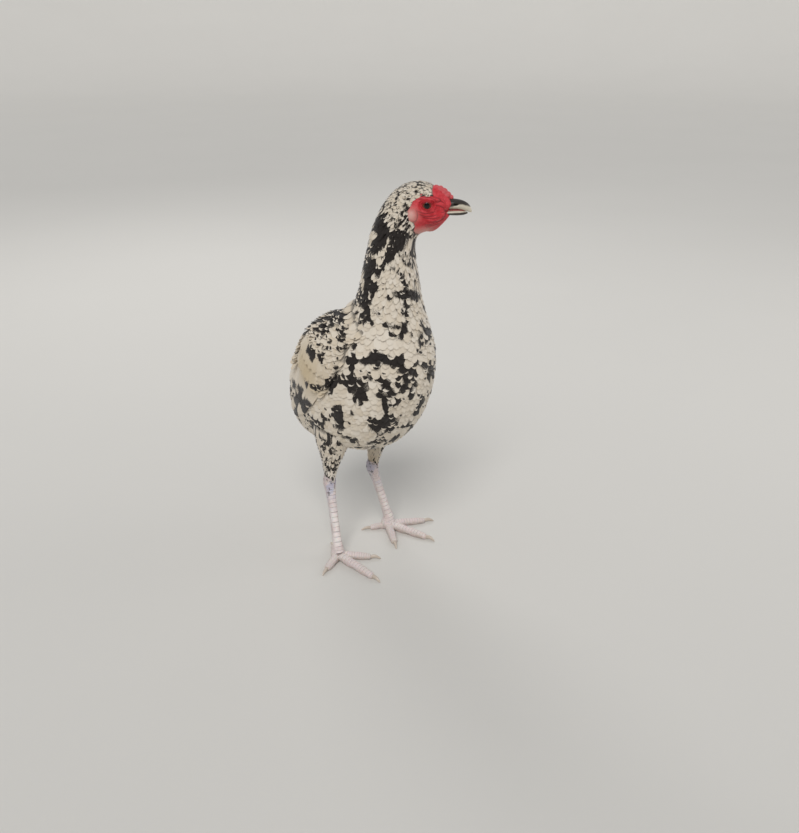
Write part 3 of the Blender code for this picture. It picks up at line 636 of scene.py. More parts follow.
CONTOUR = VaneShape(8, np.array((-1, -0.5, 0, 0.5, 1)), 0.55, 0.45)
SMALL = VaneShape(7, np.array((-1, -0.4, 0.4, 1)), 0.50, 0.50)
TINY = VaneShape(4, np.array((-1, 0, 1)), 0.45, 0.55)
FLIGHT = VaneShape(16, np.array((-1, -0.55, -0.12, 0, 0.12, 0.55, 1)), 0.84, 0.60, 0.00035)


CAMBER = 0.05                   # how far a vane's edges bend down, as a share of its width
TWIST = 0.035                   # how much vanes differ in twist, as a share of their width


def lay_vanes(surface, sign, shape, roots, headings, lengths, widths, lifts, rng, metric=True,
              shingle=0.0, ragged=0.16):
    """Vanes on a surface. Headings are in the surface's own p and q, and with metric they are turned to run
    true over it. Lifts are at the root and the tip."""
    lengths, widths = (np.broadcast_to(value, len(roots))[:, None] for value in (lengths, widths))
    root_lift, tip_lift = (np.broadcast_to(value, len(roots))[:, None] for value in lifts)
    v, c = shape.v, shape.c
    edge = 1 - ragged * rng.random((len(roots), len(v))) * np.abs(c) ** 4
    along = lengths * (v - 0.055 * np.abs(c) ** 2 * np.sin(pi * v))
    across = widths / 2 * c * shape.width * edge
    p, q = roots[:, 0, None], roots[:, 1, None]
    if metric:
        _, slope_p, slope_q, normal = frame_at(surface, roots[:, 0], roots[:, 1], sign)
        ahead = unit(slope_p * headings[:, :1] + slope_q * headings[:, 1:])
        beside = np.cross(normal, ahead)
        away = ahead[:, None] * along[..., None] + beside[:, None] * across[..., None]
        pp, pq, qq = ((one * two).sum(-1)[:, None] for one, two in
                      ((slope_p, slope_p), (slope_p, slope_q), (slope_q, slope_q)))
        on_p, on_q = ((away * slope[:, None]).sum(-1) for slope in (slope_p, slope_q))
        spread = pp * qq - pq ** 2
        p = p + (qq * on_p - pq * on_q) / spread
        q = q + (pp * on_q - pq * on_p) / spread
    else:
        p = p + along * headings[:, :1] - across * headings[:, 1:]
        q = q + along * headings[:, 1:] + across * headings[:, :1]
    base, _, _, out = frame_at(surface, p, q, sign)
    lift = root_lift + (tip_lift - root_lift) * v - CAMBER * widths * shape.width * c ** 2
    twist = rng.normal(0, TWIST, (len(roots), 1)) * widths * v
    lift = lift + (twist + shingle * np.clip(v * 4, 0, 1)) * c * shape.width + shape.shaft
    thickness = sizes().vane_thickness * np.sqrt(np.clip(1 - c ** 2, 0, 1)) * (1 - 0.5 * v)
    return base + out * (lift - shape.under * thickness)[..., None], p, q


def feather_mesh(name, shape, points, marks, patches, lengths, finish):
    """Joins vanes into one piece. Marks are a colour a vertex. Patches are the roots' places from 0 to 1."""
    count, per = points.shape[:2]
    faces = (shape.faces[None] + (np.arange(count) * per)[:, None, None]).reshape(-1, 4)
    mesh = bpy.data.meshes.new(name)
    mesh.vertices.add(count * per)
    mesh.vertices.foreach_set("co", points.astype(np.float32).ravel())
    mesh.loops.add(faces.size)
    mesh.loops.foreach_set("vertex_index", faces.astype(np.int32).ravel())
    mesh.polygons.add(len(faces))
    mesh.polygons.foreach_set("loop_start", np.arange(0, faces.size, 4, dtype=np.int32))
    mesh.update(calc_edges=True)
    mesh.shade_smooth()
    ends = np.zeros(len(mesh.edges) * 2, np.int32)
    mesh.edges.foreach_get("vertices", ends)
    thin_edge = np.tile(shape.rim, count)[ends].reshape(-1, 2).all(axis=1)
    mesh.attributes.new("sharp_edge", "BOOLEAN", "EDGE").data.foreach_set("value", thin_edge)
    add_values(mesh, "coat_marks", marks, "FLOAT_COLOR")
    own = np.stack((shape.c * 0.5, shape.v - 0.5), axis=-1) * PATCH
    add_uv(mesh, "OFBake", (patches[:, None] * (1 - 2 * PATCH) + PATCH + own[None]).reshape(-1, 2))
    length_mm = 1000 * np.broadcast_to(lengths, count)[:, None] * shape.v[None]
    side = np.broadcast_to(shape.c[None] * 0.5 + 0.5, length_mm.shape)
    add_uv(mesh, "vane", np.stack((side, length_mm), axis=-1).reshape(-1, 2))
    made = placed_object(name, mesh)
    made.data.materials.append(finish)
    return made


PATCH = 0.003                   # how wide each feather is on the map that its colours are baked to


def scatter(surface, p_range, q_range, spacing, tries, rng):
    """Root places on a surface, no two nearer than the spacing there, which is 0 where none grow."""
    p = rng.uniform(*p_range, tries * 3)
    q = rng.uniform(*q_range, tries * 3)
    _, slope_p, slope_q, _ = frame_at(surface, p, q, 1)
    area = np.linalg.norm(np.cross(slope_p, slope_q), axis=-1)
    kept = rng.random(len(p)) < area / np.percentile(area, 97)
    p, q = p[kept][:tries], q[kept][:tries]
    points = surface(p, q)
    gaps = spacing(p, q, points)
    cell = gaps.max()
    keys = np.floor(points / cell).astype(int)
    taken = {}
    chosen = []
    for k in np.nonzero(gaps > 0)[0]:
        x, y, z = keys[k]
        near = [n for i in (-1, 0, 1) for j in (-1, 0, 1) for m in (-1, 0, 1)
                for n in taken.get((x + i, y + j, z + m), ())]
        if near and np.min(((points[near] - points[k]) ** 2).sum(-1)) < gaps[k] ** 2:
            continue
        taken.setdefault((x, y, z), []).append(k)
        chosen.append(k)
    return np.stack((p[chosen], q[chosen]), axis=-1)


def feather_marks(shape, dark, warm, tone):
    """Dark, warm, tone and place along the vane, as a colour for each vertex."""
    dark, tone = np.clip(dark, 0, 1), np.clip(tone, 0, 1)
    parts = np.broadcast_arrays(dark, warm, tone[:, None], shape.v[None])
    return np.stack(parts, axis=-1).reshape(-1, 4)


def add(tree, kind, inputs=None, **settings):
    """Adds a node with its settings, and links or sets its inputs."""
    made = tree.nodes.new(kind)
    for name, value in settings.items():
        setattr(made, name, value)
    for key, value in (inputs or {}).items():
        if isinstance(value, bpy.types.NodeSocket):
            tree.links.new(value, made.inputs[key])
        else:
            made.inputs[key].default_value = value
    return made


def new_finish(name, **constants):
    """A material with its shader, whose constant values are set on the shader itself."""
    made = bpy.data.materials.new(name)
    made.use_nodes = True
    shader = made.node_tree.nodes["Principled BSDF"]
    for socket, value in constants.items():
        shader.inputs[socket.replace("_", " ")].default_value = value
    return made, made.node_tree, shader


def mixed(tree, share, first, second):
    """The colour that lies the share of the way from the first to the second."""
    return add(tree, "ShaderNodeMix", {0: share, 6: first, 7: second}, data_type="RGBA").outputs[2]


def sums(tree, operation, first, second=0.0, third=0.0):
    return add(tree, "ShaderNodeMath", {0: first, 1: second, 2: third}, operation=operation).outputs[0]


def times(tree, first, second):
    return sums(tree, "MULTIPLY", first, second)


def tinted(tree, colour, share, strength, tint):
    """The colour, taken towards the tint by the share of that strength."""
    return mixed(tree, times(tree, share, strength), colour, tint)


def mapped(tree, value, from_low, from_high, to_low=0.0, to_high=1.0):
    return add(tree, "ShaderNodeMapRange", {0: value, 1: from_low, 2: from_high, 3: to_low, 4: to_high},
               interpolation_type="SMOOTHSTEP").outputs[0]


def attribute(tree, name, output="Fac"):
    return add(tree, "ShaderNodeAttribute", attribute_name=name).outputs[output]


def channels(tree, name):
    """The red, green and blue of a stored colour, as three values."""
    return add(tree, "ShaderNodeSeparateColor", {0: attribute(tree, name, "Color")}).outputs


def object_place(tree):
    return add(tree, "ShaderNodeTexCoord").outputs["Object"]


def noise(tree, place, scale, detail):
    return add(tree, "ShaderNodeTexNoise", {"Vector": place, "Scale": scale, "Detail": detail}).outputs[0]


def dress(tree, shader, colour, height=None, strength=0.0, distance=0.0):
    """Gives a shader its colour, and a relief from the height where there is one."""
    tree.links.new(colour, shader.inputs["Base Color"])
    if height is not None:
        relief = add(tree, "ShaderNodeBump", {"Height": height, "Strength": strength, "Distance": distance})
        tree.links.new(relief.outputs[0], shader.inputs["Normal"])


BARB_GAP_MM = 0.7
GROWTH_LINE_MM = 0.7


def plumage_finish():
    """Contour and flight feathers: keratin barbs, matte, with a faint silky sheen along the vane. The
    barbs are drawn 0.7 mm apart, about half as many as real ones, so that they show."""
    found = bpy.data.materials.get("feather_keratin")
    if found:
        return found
    own = colours()
    made, tree, shader = new_finish("feather_keratin", Roughness=0.72, Sheen_Weight=0.25,
                                    Sheen_Roughness=0.5, Specular_IOR_Level=0.35)
    black_share, warm_share, white_share = channels(tree, "coat_marks")
    along = attribute(tree, "coat_marks", "Alpha")
    side, length_mm, _ = add(tree, "ShaderNodeSeparateXYZ",
                             {0: add(tree, "ShaderNodeUVMap", uv_map="vane").outputs[0]}).outputs
    aside = sums(tree, "ABSOLUTE", sums(tree, "SUBTRACT", side, 0.5))
    barb_place = sums(tree, "SUBTRACT", length_mm, times(tree, aside, 9.0))
    barbs = sums(tree, "SINE", times(tree, barb_place, 2 * pi / BARB_GAP_MM))
    fray = noise(tree, object_place(tree), 900.0, 2.0)
    jitter = sums(tree, "ADD", times(tree, barbs, 0.06), times(tree, sums(tree, "SUBTRACT", fray, 0.5), 0.5))
    dark = mapped(tree, sums(tree, "ADD", black_share, jitter), 0.36, 0.64)
    pale = mixed(tree, white_share, own.cream[:], own.white[:])
    pale = mixed(tree, warm_share, pale, own.peach[:])
    pale = mixed(tree, mapped(tree, along, 0.45, 0.12), pale, own.down[:])
    # painted shade: the troughs between the barbs are tinted slightly towards the grey down
    pale = mixed(tree, mapped(tree, barbs, -1.0, 1.0, 0.10, 0.0), pale, own.down[:])
    dress(tree, shader, mixed(tree, dark, pale, own.black[:]), barbs, 0.25, 0.00012)
    return made


def skin_finish():
    """Bare poultry skin: soft, slightly moist, pebbled with papillae about 0.8 mm across. The red is painted
    darker as shade in the creases between the papillae, in the folds of the face, on the upper lids and in
    the mouth. Under the coat it carries the coat's own marks."""
    found = bpy.data.materials.get("pebbled_skin")
    if found:
        return found
    own = colours()
    made, tree, shader = new_finish("pebbled_skin", Roughness=0.48, Subsurface_Weight=0.12,
                                    Subsurface_Scale=0.003, Specular_IOR_Level=0.45)
    shader.inputs["Subsurface Radius"].default_value = (1.0, 0.25, 0.15)
    bare_skin, pale_share, dark_share = channels(tree, "skin_marks")
    comb = attribute(tree, "skin_marks", "Alpha")
    place = object_place(tree)
    pebble = add(tree, "ShaderNodeTexVoronoi", {"Vector": place, "Scale": 1250.0, "Randomness": 1.0})
    blotch = noise(tree, place, 190.0, 4.0)
    crease = mapped(tree, pebble.outputs["Distance"], 0.35, 0.75)
    red = mixed(tree, mapped(tree, blotch, 0.35, 0.7), own.face[:], hex_linear("E0424A"))
    # painted shade: the low creases between the papillae are tinted darker red
    red = tinted(tree, red, crease, 0.28, hex_linear("8A1420"))
    # painted shade: the red is darkened by the stored fold value, in the face's creases, on the upper lids
    # and in the mouth
    red = tinted(tree, red, attribute(tree, "painted_fold_shade"), 0.75, hex_linear("6E0C16"))
    red = mixed(tree, comb, red, own.comb[:])
    bare = mixed(tree, pale_share, red, own.lobe[:])
    coat = mixed(tree, mapped(tree, dark_share, 0.42, 0.58), own.down[:], own.black[:])
    height = sums(tree, "SUBTRACT", times(tree, blotch, 1.2), crease)
    dress(tree, shader, mixed(tree, bare_skin, coat, bare), height, 0.4, 0.0003)
    return made


def leg_finish():
    """Leg scales: dry, waxy keratin with pink skin showing through, small net-like scales about 1.6 mm
    across between the scutes, and floor dust on the toes."""
    found = bpy.data.materials.get("leg_keratin")
    if found:
        return found
    own = colours()
    made, tree, shader = new_finish("leg_keratin", Roughness=0.55, Subsurface_Weight=0.06,
                                    Subsurface_Scale=0.002, Specular_IOR_Level=0.4)
    place = object_place(tree)
    height = add(tree, "ShaderNodeSeparateXYZ", {0: place}).outputs[2]
    net = add(tree, "ShaderNodeTexVoronoi", {"Vector": place, "Scale": 620.0}, feature="DISTANCE_TO_EDGE")
    seams = mapped(tree, net.outputs[0], 0.0, 0.12, 1.0, 0.0)
    cloud = noise(tree, place, 70.0, 4.0)
    streak = noise(tree, place, 260.0, 3.0)
    front = attribute(tree, "scute_front")
    along = sums(tree, "FRACT", attribute(tree, "scute_count"))
    net_share = times(tree, seams, sums(tree, "SUBTRACT", 1.0, times(tree, front, 0.8)))
    colour = mixed(tree, mapped(tree, cloud, 0.35, 0.65), own.leg[:], hex_linear("E9E0DC"))
    bloom = times(tree, mapped(tree, height, 0.055, 0.105), mapped(tree, cloud, 0.40, 0.62))
    colour = tinted(tree, colour, bloom, 0.75, own.lilac[:])
    # painted shade at each scute's root, under the raised edge of the scute before it, and a painted
    # highlight along each scute's raised lower edge
    root = times(tree, mapped(tree, along, 0.16, 0.0), front)
    rim = times(tree, mapped(tree, along, 0.74, 0.95), front)
    stain = times(tree, mapped(tree, height, 0.070, 0.096), mapped(tree, streak, 0.56, 0.64))
    dust = times(tree, mapped(tree, height, 0.016, 0.0), mapped(tree, cloud, 0.35, 0.6))
    for share, strength, tint in ((net_share, 0.45, "8C7672"), (root, 0.75, "6F5A58"), (rim, 0.45, "F0E8E2"),
                                  (stain, 0.8, "2B2627"), (dust, 0.55, "A08A78")):
        colour = tinted(tree, colour, share, strength, hex_linear(tint))
    dress(tree, shader, colour, net_share, 0.5, -0.00025)
    return made


def horn_finish(name, rough):
    """Beak and claw horn: dense keratin, satin, in growth lines about 0.7 mm apart. The dark ridge fades
    into pale sides."""
    found = bpy.data.materials.get(name)
    if found:
        return found
    own = colours()
    made, tree, shader = new_finish(name, Roughness=rough, Specular_IOR_Level=0.5, Coat_Weight=0.15,
                                    Coat_Roughness=0.25)
    cloud = noise(tree, object_place(tree), 420.0, 3.0)
    lines = sums(tree, "SINE", times(tree, attribute(tree, "horn_along"), 2 * pi / GROWTH_LINE_MM))
    dark = sums(tree, "ADD", attribute(tree, "horn_dark"), times(tree, cloud, 0.35))
    share = mapped(tree, dark, 0.42, 0.95)
    colour = mixed(tree, share, own.horn_pale[:], own.horn_dark[:])
    colour = mixed(tree, mapped(tree, lines, -1.0, 1.0, 0.0, 0.07), colour, hex_linear("5A4C3E"))
    dress(tree, shader, colour, lines, 0.12, 0.0001)
    return made


def eye_finish():
    """A wet eyeball: a black pupil, an orange-brown iris with fine spokes, and a dark rim."""
    found = bpy.data.materials.get("wet_eye")
    if found:
        return found
    own = colours()
    made, tree, shader = new_finish("wet_eye", Roughness=0.10, Specular_IOR_Level=0.25, Coat_Weight=0.45,
                                    Coat_Roughness=0.02)
    out = attribute(tree, "from_pupil")
    spokes = noise(tree, object_place(tree), 1500.0, 2.0)
    iris = mixed(tree, mapped(tree, spokes, 0.35, 0.65), own.iris[:], hex_linear("84401F"))
    colour = mixed(tree, mapped(tree, out, 0.40, 0.44), hex_linear("050404"), iris)
    colour = mixed(tree, mapped(tree, out, 0.52, 0.62), colour, hex_linear("2A0C0E"))
    dress(tree, shader, colour)
    return made


# Folds of the bare face: forward, sideways and height of the middle, half reach forward, sideways and
# up, and the tilt of the forward end upwards in degrees.
FACE_FOLDS = (
    (0.1032, 0.0156, 0.4922, 0.0142, 0.0058, 0.0038, -6),
    (0.1150, 0.0112, 0.4885, 0.0090, 0.0050, 0.0060, -25),
    (0.1015, 0.0150, 0.4852, 0.0120, 0.0062, 0.0095, 0),
    (0.1080, 0.0110, 0.4720, 0.0170, 0.0066, 0.0085, 20),
    (0.0850, 0.0195, 0.4735, 0.0062, 0.0036, 0.0068, 10),
    (0.1110, 0.0060, 0.4655, 0.0130, 0.0062, 0.0060, 30),
)
# Fine creases of the face: forward and height of both ends, how far each bows upwards, and its depth.
FACE_LINES = (
    (0.0900, 0.4905, 0.1135, 0.4905, 0.0045, 0.0008),
    (0.0905, 0.4800, 0.1125, 0.4790, -0.0030, 0.0007),
    (0.0915, 0.4765, 0.1150, 0.4750, -0.0030, 0.0006),
    (0.0950, 0.4730, 0.1190, 0.4725, -0.0026, 0.0006),
    (0.1105, 0.4855, 0.1230, 0.4805, 0.0012, 0.0007),
    (0.1100, 0.4905, 0.1220, 0.4870, 0.0016, 0.0006),
    (0.1010, 0.4665, 0.1240, 0.4700, -0.0018, 0.0007),
    (0.0985, 0.4610, 0.1180, 0.4640, -0.0014, 0.0006),
    (0.1180, 0.4765, 0.1275, 0.4772, 0.0004, 0.0009),
    (0.0895, 0.4815, 0.0900, 0.4680, 0.0018, 0.0008),
)
FOLD_SOFTNESS = 0.0011
CREASE_HALF = 0.00055
LID_LONG = 0.0056
LID_HIGH = 0.0041
LID_SKIN = 0.0004               # how thick the skin is over the eyeball
SOCKET_DEPTH = 0.0012


def soft_max(first, second, soft):
    """The larger of two values, with the corner between them rounded off."""
    share = np.clip(0.5 + (first - second) / (2 * soft), 0, 1)
    return second + (first - second) * share + soft * share * (1 - share)


def face_relief(forward, sideways, height):
    """Moves places on the head out over the folds, and in behind the eyeballs. Also gives how deep in a
    crease between folds each place is, from 0 to 1, where the skin is painted darker as shade."""
    out = np.abs(sideways)
    crease = np.zeros(np.shape(out))
    flat_share = ramp(0.0015, 0.0045, out)
    for f0, s0, h0, long, wide, high, tilt in FACE_FOLDS:
        a = radians(tilt)
        f = ((forward - f0) * cos(a) + (height - h0) * sin(a)) / long
        h = ((height - h0) * cos(a) - (forward - f0) * sin(a)) / high
        past = f ** 2 + h ** 2
        fold = s0 + wide * np.sqrt(np.clip(1 - past, 0, 1)) - 0.004 * np.clip(past - 1, 0, 9)
        meeting = hill((past, 1, 0.16)) * (fold > out - 0.0012)
        crease = np.maximum(crease, meeting * flat_share)
        out = np.where(flat_share > 0, out + flat_share * (soft_max(fold, out, FOLD_SOFTNESS) - out), out)
    for f0, h0, f1, h1, bow, deep in FACE_LINES:
        run_f, run_h = f1 - f0, h1 - h0
        run = np.hypot(run_f, run_h)
        s = ((forward - f0) * run_f + (height - h0) * run_h) / run ** 2
        d = ((height - h0) * run_f - (forward - f0) * run_h) / run - bow * np.sin(pi * np.clip(s, 0, 1))
        line = hill((d, 0, CREASE_HALF)) * ramp(0.0, 0.15, s) * ramp(1.0, 0.85, s) * flat_share
        out = out - deep * line
        crease = np.maximum(crease, line)
    f, h = forward - EYE_AT[0], height - EYE_AT[2]
    away = np.hypot(f / LID_LONG, h / LID_HIGH)
    ball_side = EYE_AT[1] + np.sqrt(np.clip(EYE_RADIUS ** 2 - f ** 2 - h ** 2, 0, 1))
    near = 1 - ramp(1.05, 1.9, away)
    out = out + near * flat_share * (ball_side + LID_SKIN - out)
    out = out - (1 - ramp(0.80, 1.05, away)) * flat_share * SOCKET_DEPTH
    return np.sign(sideways) * out, crease


def coat_depth(t, forward, height):
    """How deep the skin lies under the solids' surface: the coat's depth, and none on the bare face."""
    own = sizes()
    depth = own.body_coat + (own.neck_coat - own.body_coat) * ramp(7.0, 9.5, t)
    depth = depth + (own.crown_coat - depth) * ramp(12.0, 14.5, t)
    return depth * (1 - np.where(t > 12.5, bare_share(forward, height), 0))


def skin_surface(t, u):
    """The skin of body, neck and head."""
    forward, _, height, _ = section_place(t, u)
    depth = coat_depth(t, forward, height)
    # the skin's front end rolls inwards under the root of the beak
    roll = np.clip((t - 18.6) / (LAST_SECTION - 18.6), 0, 1)
    forward, sideways, height, turn = section_place(t, u, -depth - 0.0022 * (1 - np.sqrt(1 - roll ** 2)))
    on_head = ramp(13.2, 14.4, t)
    sideways = sideways + (face_relief(forward, sideways, height)[0] - sideways) * on_head
    # it is notched at the corner of the mouth, and hangs in a low fold under the throat
    gape = hill((height, 0.4768, 0.0042)) - 0.35 * hill((height, 0.4860, 0.0026))
    forward = forward - 0.0042 * ramp(17.6, 19.6, t) * gape * ramp(0.002, 0.006, np.abs(sideways))
    hang = hill((sideways, 0, 0.0040), (forward, 0.1105, 0.0100)) * (np.cos(2 * pi * u) > 0)
    return head_place(forward, sideways, height - 0.0032 * hang * on_head, turn)


HEAD_BOTTOM = 0.44              # heights that part head and neck, and body and legs
BODY_BOTTOM = 0.150
SKIN_AROUND = 176
SKIN_BODY_RINGS = 84
SKIN_HEAD_RINGS = 240


def body_skin():
    """The skin's main length as a closed bmesh. Its rings are closest together on the head."""
    rings = SKIN_BODY_RINGS + SKIN_HEAD_RINGS
    share = SKIN_BODY_RINGS / rings

    def surface(u, v):
        body_t = HEAD_START * v / share
        head_t = HEAD_START + (LAST_SECTION - HEAD_START) * (v - share) / (1 - share)
        return skin_surface(np.clip(np.where(v < share, body_t, head_t), 0, LAST_SECTION), -u)
    return rolled(SKIN_AROUND, rings, surface)


def tube_surface(points, radii, ripple=None, wide=1.0, flat_ends=(False, False), steps=24):
    """The function from u, v to points on a tube through the points. Flat ends stay open to their full
    width, and the others close within one of so many steps."""
    points = np.array(points)
    radii = np.array(radii)[:, None]
    last = len(points) - 1
    run = points[-1] - points[0]
    level_way = np.cross(run, (0, 0, 1.0))
    length = np.linalg.norm(level_way)
    level_way = level_way / length if length > 0.75 * np.linalg.norm(run) else np.array((1.0, 0, 0))

    def surface(u, v):
        shrink = np.ones(np.shape(v))
        if not flat_ends[0]:
            shrink = shrink * np.sqrt(np.clip(v * steps, 0, 1)) ** 0.9
        if not flat_ends[1]:
            shrink = shrink * np.sqrt(np.clip((1 - v) * steps, 0, 1)) ** 0.9
        t = np.asarray(v) * last
        centre = along_sections(points, t)
        ahead, behind = np.minimum(t + 0.05, last), np.maximum(t - 0.05, 0)
        heading = unit(along_sections(points, ahead) - along_sections(points, behind))
        level = unit(level_way - heading * (heading @ level_way)[..., None])
        up = np.cross(level, heading)
        radius = along_sections(radii, t * (len(radii) - 1) / last)[..., 0] * shrink
        if ripple:
            radius = radius + ripple(v, u) * shrink
        aside, above = radius * wide * np.cos(2 * pi * u), radius * np.sin(2 * pi * u)
        return centre + level * aside[..., None] + up * above[..., None] + SHIFT
    return surface


def forward_point(x, forward, height):
    return np.array((x, -forward, height))


def leg_places(side):
    foot, hock, knee = LEGS[side]
    ankle = forward_point(*foot, ANKLE_HEIGHT)
    return ankle, forward_point(*hock), forward_point(*knee)


SHANK_SCUTES = 24
TOE_SCUTES = 15
HIGHEST_SCALE = 0.125
FLOOR_CUT = 0.00002             # how far over the floor the feet are cut flat, so that none goes below it


def scute_step(v, count):
    """A sawtooth along a leg: each scute rises to its lower edge, then drops to the next one's root."""
    step = (v * count) % 1.0
    return step ** 1.5 - np.clip((step - 0.90) / 0.10, 0, 1)


def shank_surface(side):
    ankle, hock, knee = leg_places(side)
    run = unit(hock - ankle)
    thigh_run = unit(knee - hock)
    joint = hock + thigh_run * 0.012

    def scutes(v, u):
        height = np.sin(2 * pi * u)
        front, rear = np.clip(height * 1.6, 0, 1), np.clip(-height * 1.6, 0, 1)
        on_front = front * scute_step(1 - v, SHANK_SCUTES) * (1 - ramp(0.80, 0.92, v))
        on_rear = rear * scute_step(1 - v, SHANK_SCUTES * 1.4) * 0.5 * (1 - ramp(0.75, 0.88, v))
        tendon = 0.0006 * hill((np.cos(2 * pi * u), 0, 0.35)) * (height < 0)
        groove = -0.0005 * (hill((u % 1.0, 0.97, 0.03)) + hill((u % 1.0, 0.53, 0.03)))
        return sizes().scute_rise * (on_front + on_rear) + (tendon + groove) * (1 - ramp(0.75, 0.95, v))

    length = hock - ankle
    points = (ankle - run * 0.010, ankle + length * 0.3, ankle + length * 0.75, hock, joint)
    radii = (SHANK_RADIUS * 1.15, SHANK_RADIUS * 0.98, SHANK_RADIUS * 1.06,
             HOCK_RADIUS * 0.98, HOCK_RADIUS * 0.95)
    return tube_surface(points, radii, scutes, 0.92, (True, True))


def thigh_surface(side, depth):
    """The thigh, from the hock up into the body, this far under the solids' surface."""
    _, hock, knee = leg_places(side)
    joint = hock + unit(knee - hock) * 0.004
    points = (joint, joint + (knee - joint) * 0.3, joint + (knee - joint) * 0.65, knee)
    radii = (HOCK_RADIUS * 1.03 - depth * 0.4, 0.0140 - depth, 0.0250 - depth, 0.0340 - depth)
    return tube_surface(points, radii, None, 0.75, (True, False))


UP = np.array((0, 0, 1.0))


def toe_places(side, toe):
    """A toe's start under the ankle, its direction, the claw's root and tip, and its radius."""
    ankle = leg_places(side)[0]
    x, forward, radius = TOES[side][toe]
    tip = forward_point(x, forward, 0.0)
    start = ankle * (1, 1, 0)
    way = unit(tip - start)
    return start, way, tip - way * CLAW_LENGTH, tip, radius


def toe_surface(side, toe):
    start, way, claw_root, _, radius = toe_places(side, toe)

    def pads(v, u):
        above = np.clip(np.sin(2 * pi * u), 0, 1)
        below = np.clip(-np.sin(2 * pi * u), 0, 1)
        knuckles = 0.12 * radius * np.cos(2 * pi * v * 3.0) * below
        return knuckles + sizes().scute_rise * 0.9 * above * scute_step(v, TOE_SCUTES)

    length = claw_root - start
    points = (start + way * 0.001 + UP * (radius + 0.0007), start + length * 0.35 + UP * radius,
              start + length * 0.7 + UP * radius * 0.9, claw_root + UP * radius * 0.68)
    radii = (radius, radius * 0.94, radius * 0.84, radius * 0.70)
    return tube_surface(points, radii, pads, 1.05, (False, False), 10)


def hub_surface(side):
    ankle, hock, _ = leg_places(side)
    run = unit(hock - ankle)
    under = ankle * (1, 1, 0)
    points = (ankle + run * 0.012, ankle - run * 0.002, under + UP * 0.0095, under + UP * 0.0008)
    return tube_surface(points, (SHANK_RADIUS * 0.95, SHANK_RADIUS * 1.2, 0.0098, 0.0088), None, 1.0,
                        (True, False), 8)


def scute_places(places):
    """How many scutes along its leg or toe each place is, and how far it is on the scutes' own side."""
    count = np.zeros(len(places))
    front = np.zeros(len(places))
    nearest = np.full(len(places), 1.6)
    low = np.nonzero(places[:, 2] < HIGHEST_SCALE)[0]
    v = np.linspace(0, 1, 260)
    for side in LEGS:
        tubes = [(shank_surface(side), SHANK_SCUTES, True)]
        tubes += [(toe_surface(side, toe), TOE_SCUTES, False) for toe in TOES[side]]
        for tube, number, upright in tubes:
            right, left, top = (tube(np.full(v.shape, u), v) for u in (0.0, 0.5, 0.25))
            middle = (right + left) / 2
            radius = np.linalg.norm(right - left, axis=1) / 2 + 1e-4
            away = places[low, None] - middle[None]
            k = np.argmin((away ** 2).sum(-1), axis=1)
            away = away[np.arange(len(low)), k]
            reach = np.linalg.norm(away, axis=1) / radius[k]
            up = unit(top - middle)[k]
            face = np.clip((away * up).sum(-1) / np.maximum(np.linalg.norm(away, axis=1), 1e-6) * 1.6, 0, 1)
            best = reach < nearest[low]
            spots = low[best]
            nearest[spots] = reach[best]
            at = v[k[best]]
            count[spots] = ((1 - at) if upright else at) * number
            front[spots] = face[best] * ((1 - ramp(0.80, 0.92, at)) if upright else 1)
    return count, front


def temporary(name, bm):
    """An object to be fused into another, kept out of the table of pieces."""
    return linked(name, mesh_from(name, bm))


def fused(first, others):
    """Fuses closed objects into the first and returns its new mesh. The objects are removed."""
    group = bpy.data.collections.new("fusing")
    bpy.context.scene.collection.children.link(group)
    for other in others:
        bpy.context.scene.collection.objects.unlink(other)
        group.objects.link(other)
    union = first.modifiers.new("union", "BOOLEAN")
    union.operation = "UNION"
    union.operand_type = "COLLECTION"
    union.collection = group
    union.solver = "EXACT"
    mesh = bpy.data.meshes.new_from_object(first.evaluated_get(bpy.context.evaluated_depsgraph_get()))
    for other in list(group.objects):
        bpy.data.objects.remove(other)
    bpy.data.collections.remove(group)
    bpy.data.objects.remove(first)
    return mesh


def clip_floor(bm):
    """Cuts a bmesh flat at the floor's height, where the foot's flats are."""
    cut = bmesh.ops.bisect_plane(bm, geom=list(bm.verts) + list(bm.edges) + list(bm.faces),
                                 plane_co=(0, 0, FLOOR_CUT), plane_no=(0, 0, 1), clear_inner=True)
    edges = [item for item in cut["geom_cut"] if isinstance(item, bmesh.types.BMEdge)]
    bmesh.ops.holes_fill(bm, edges=edges, sides=0)
    return bm


def leg_mesh(side):
    """One leg's bare skin, fused from shank, hub and toes. It is cut flat where it stands on the floor after
    it joins the skin.
    """
    shank = temporary("shank", rolled(40, 200, shank_surface(side)))
    others = [temporary("hub", rolled(36, 26, hub_surface(side)))]
    others += [temporary("toe", rolled(24, 75, toe_surface(side, toe))) for toe in TOES[side]]
    return fused(shank, others)


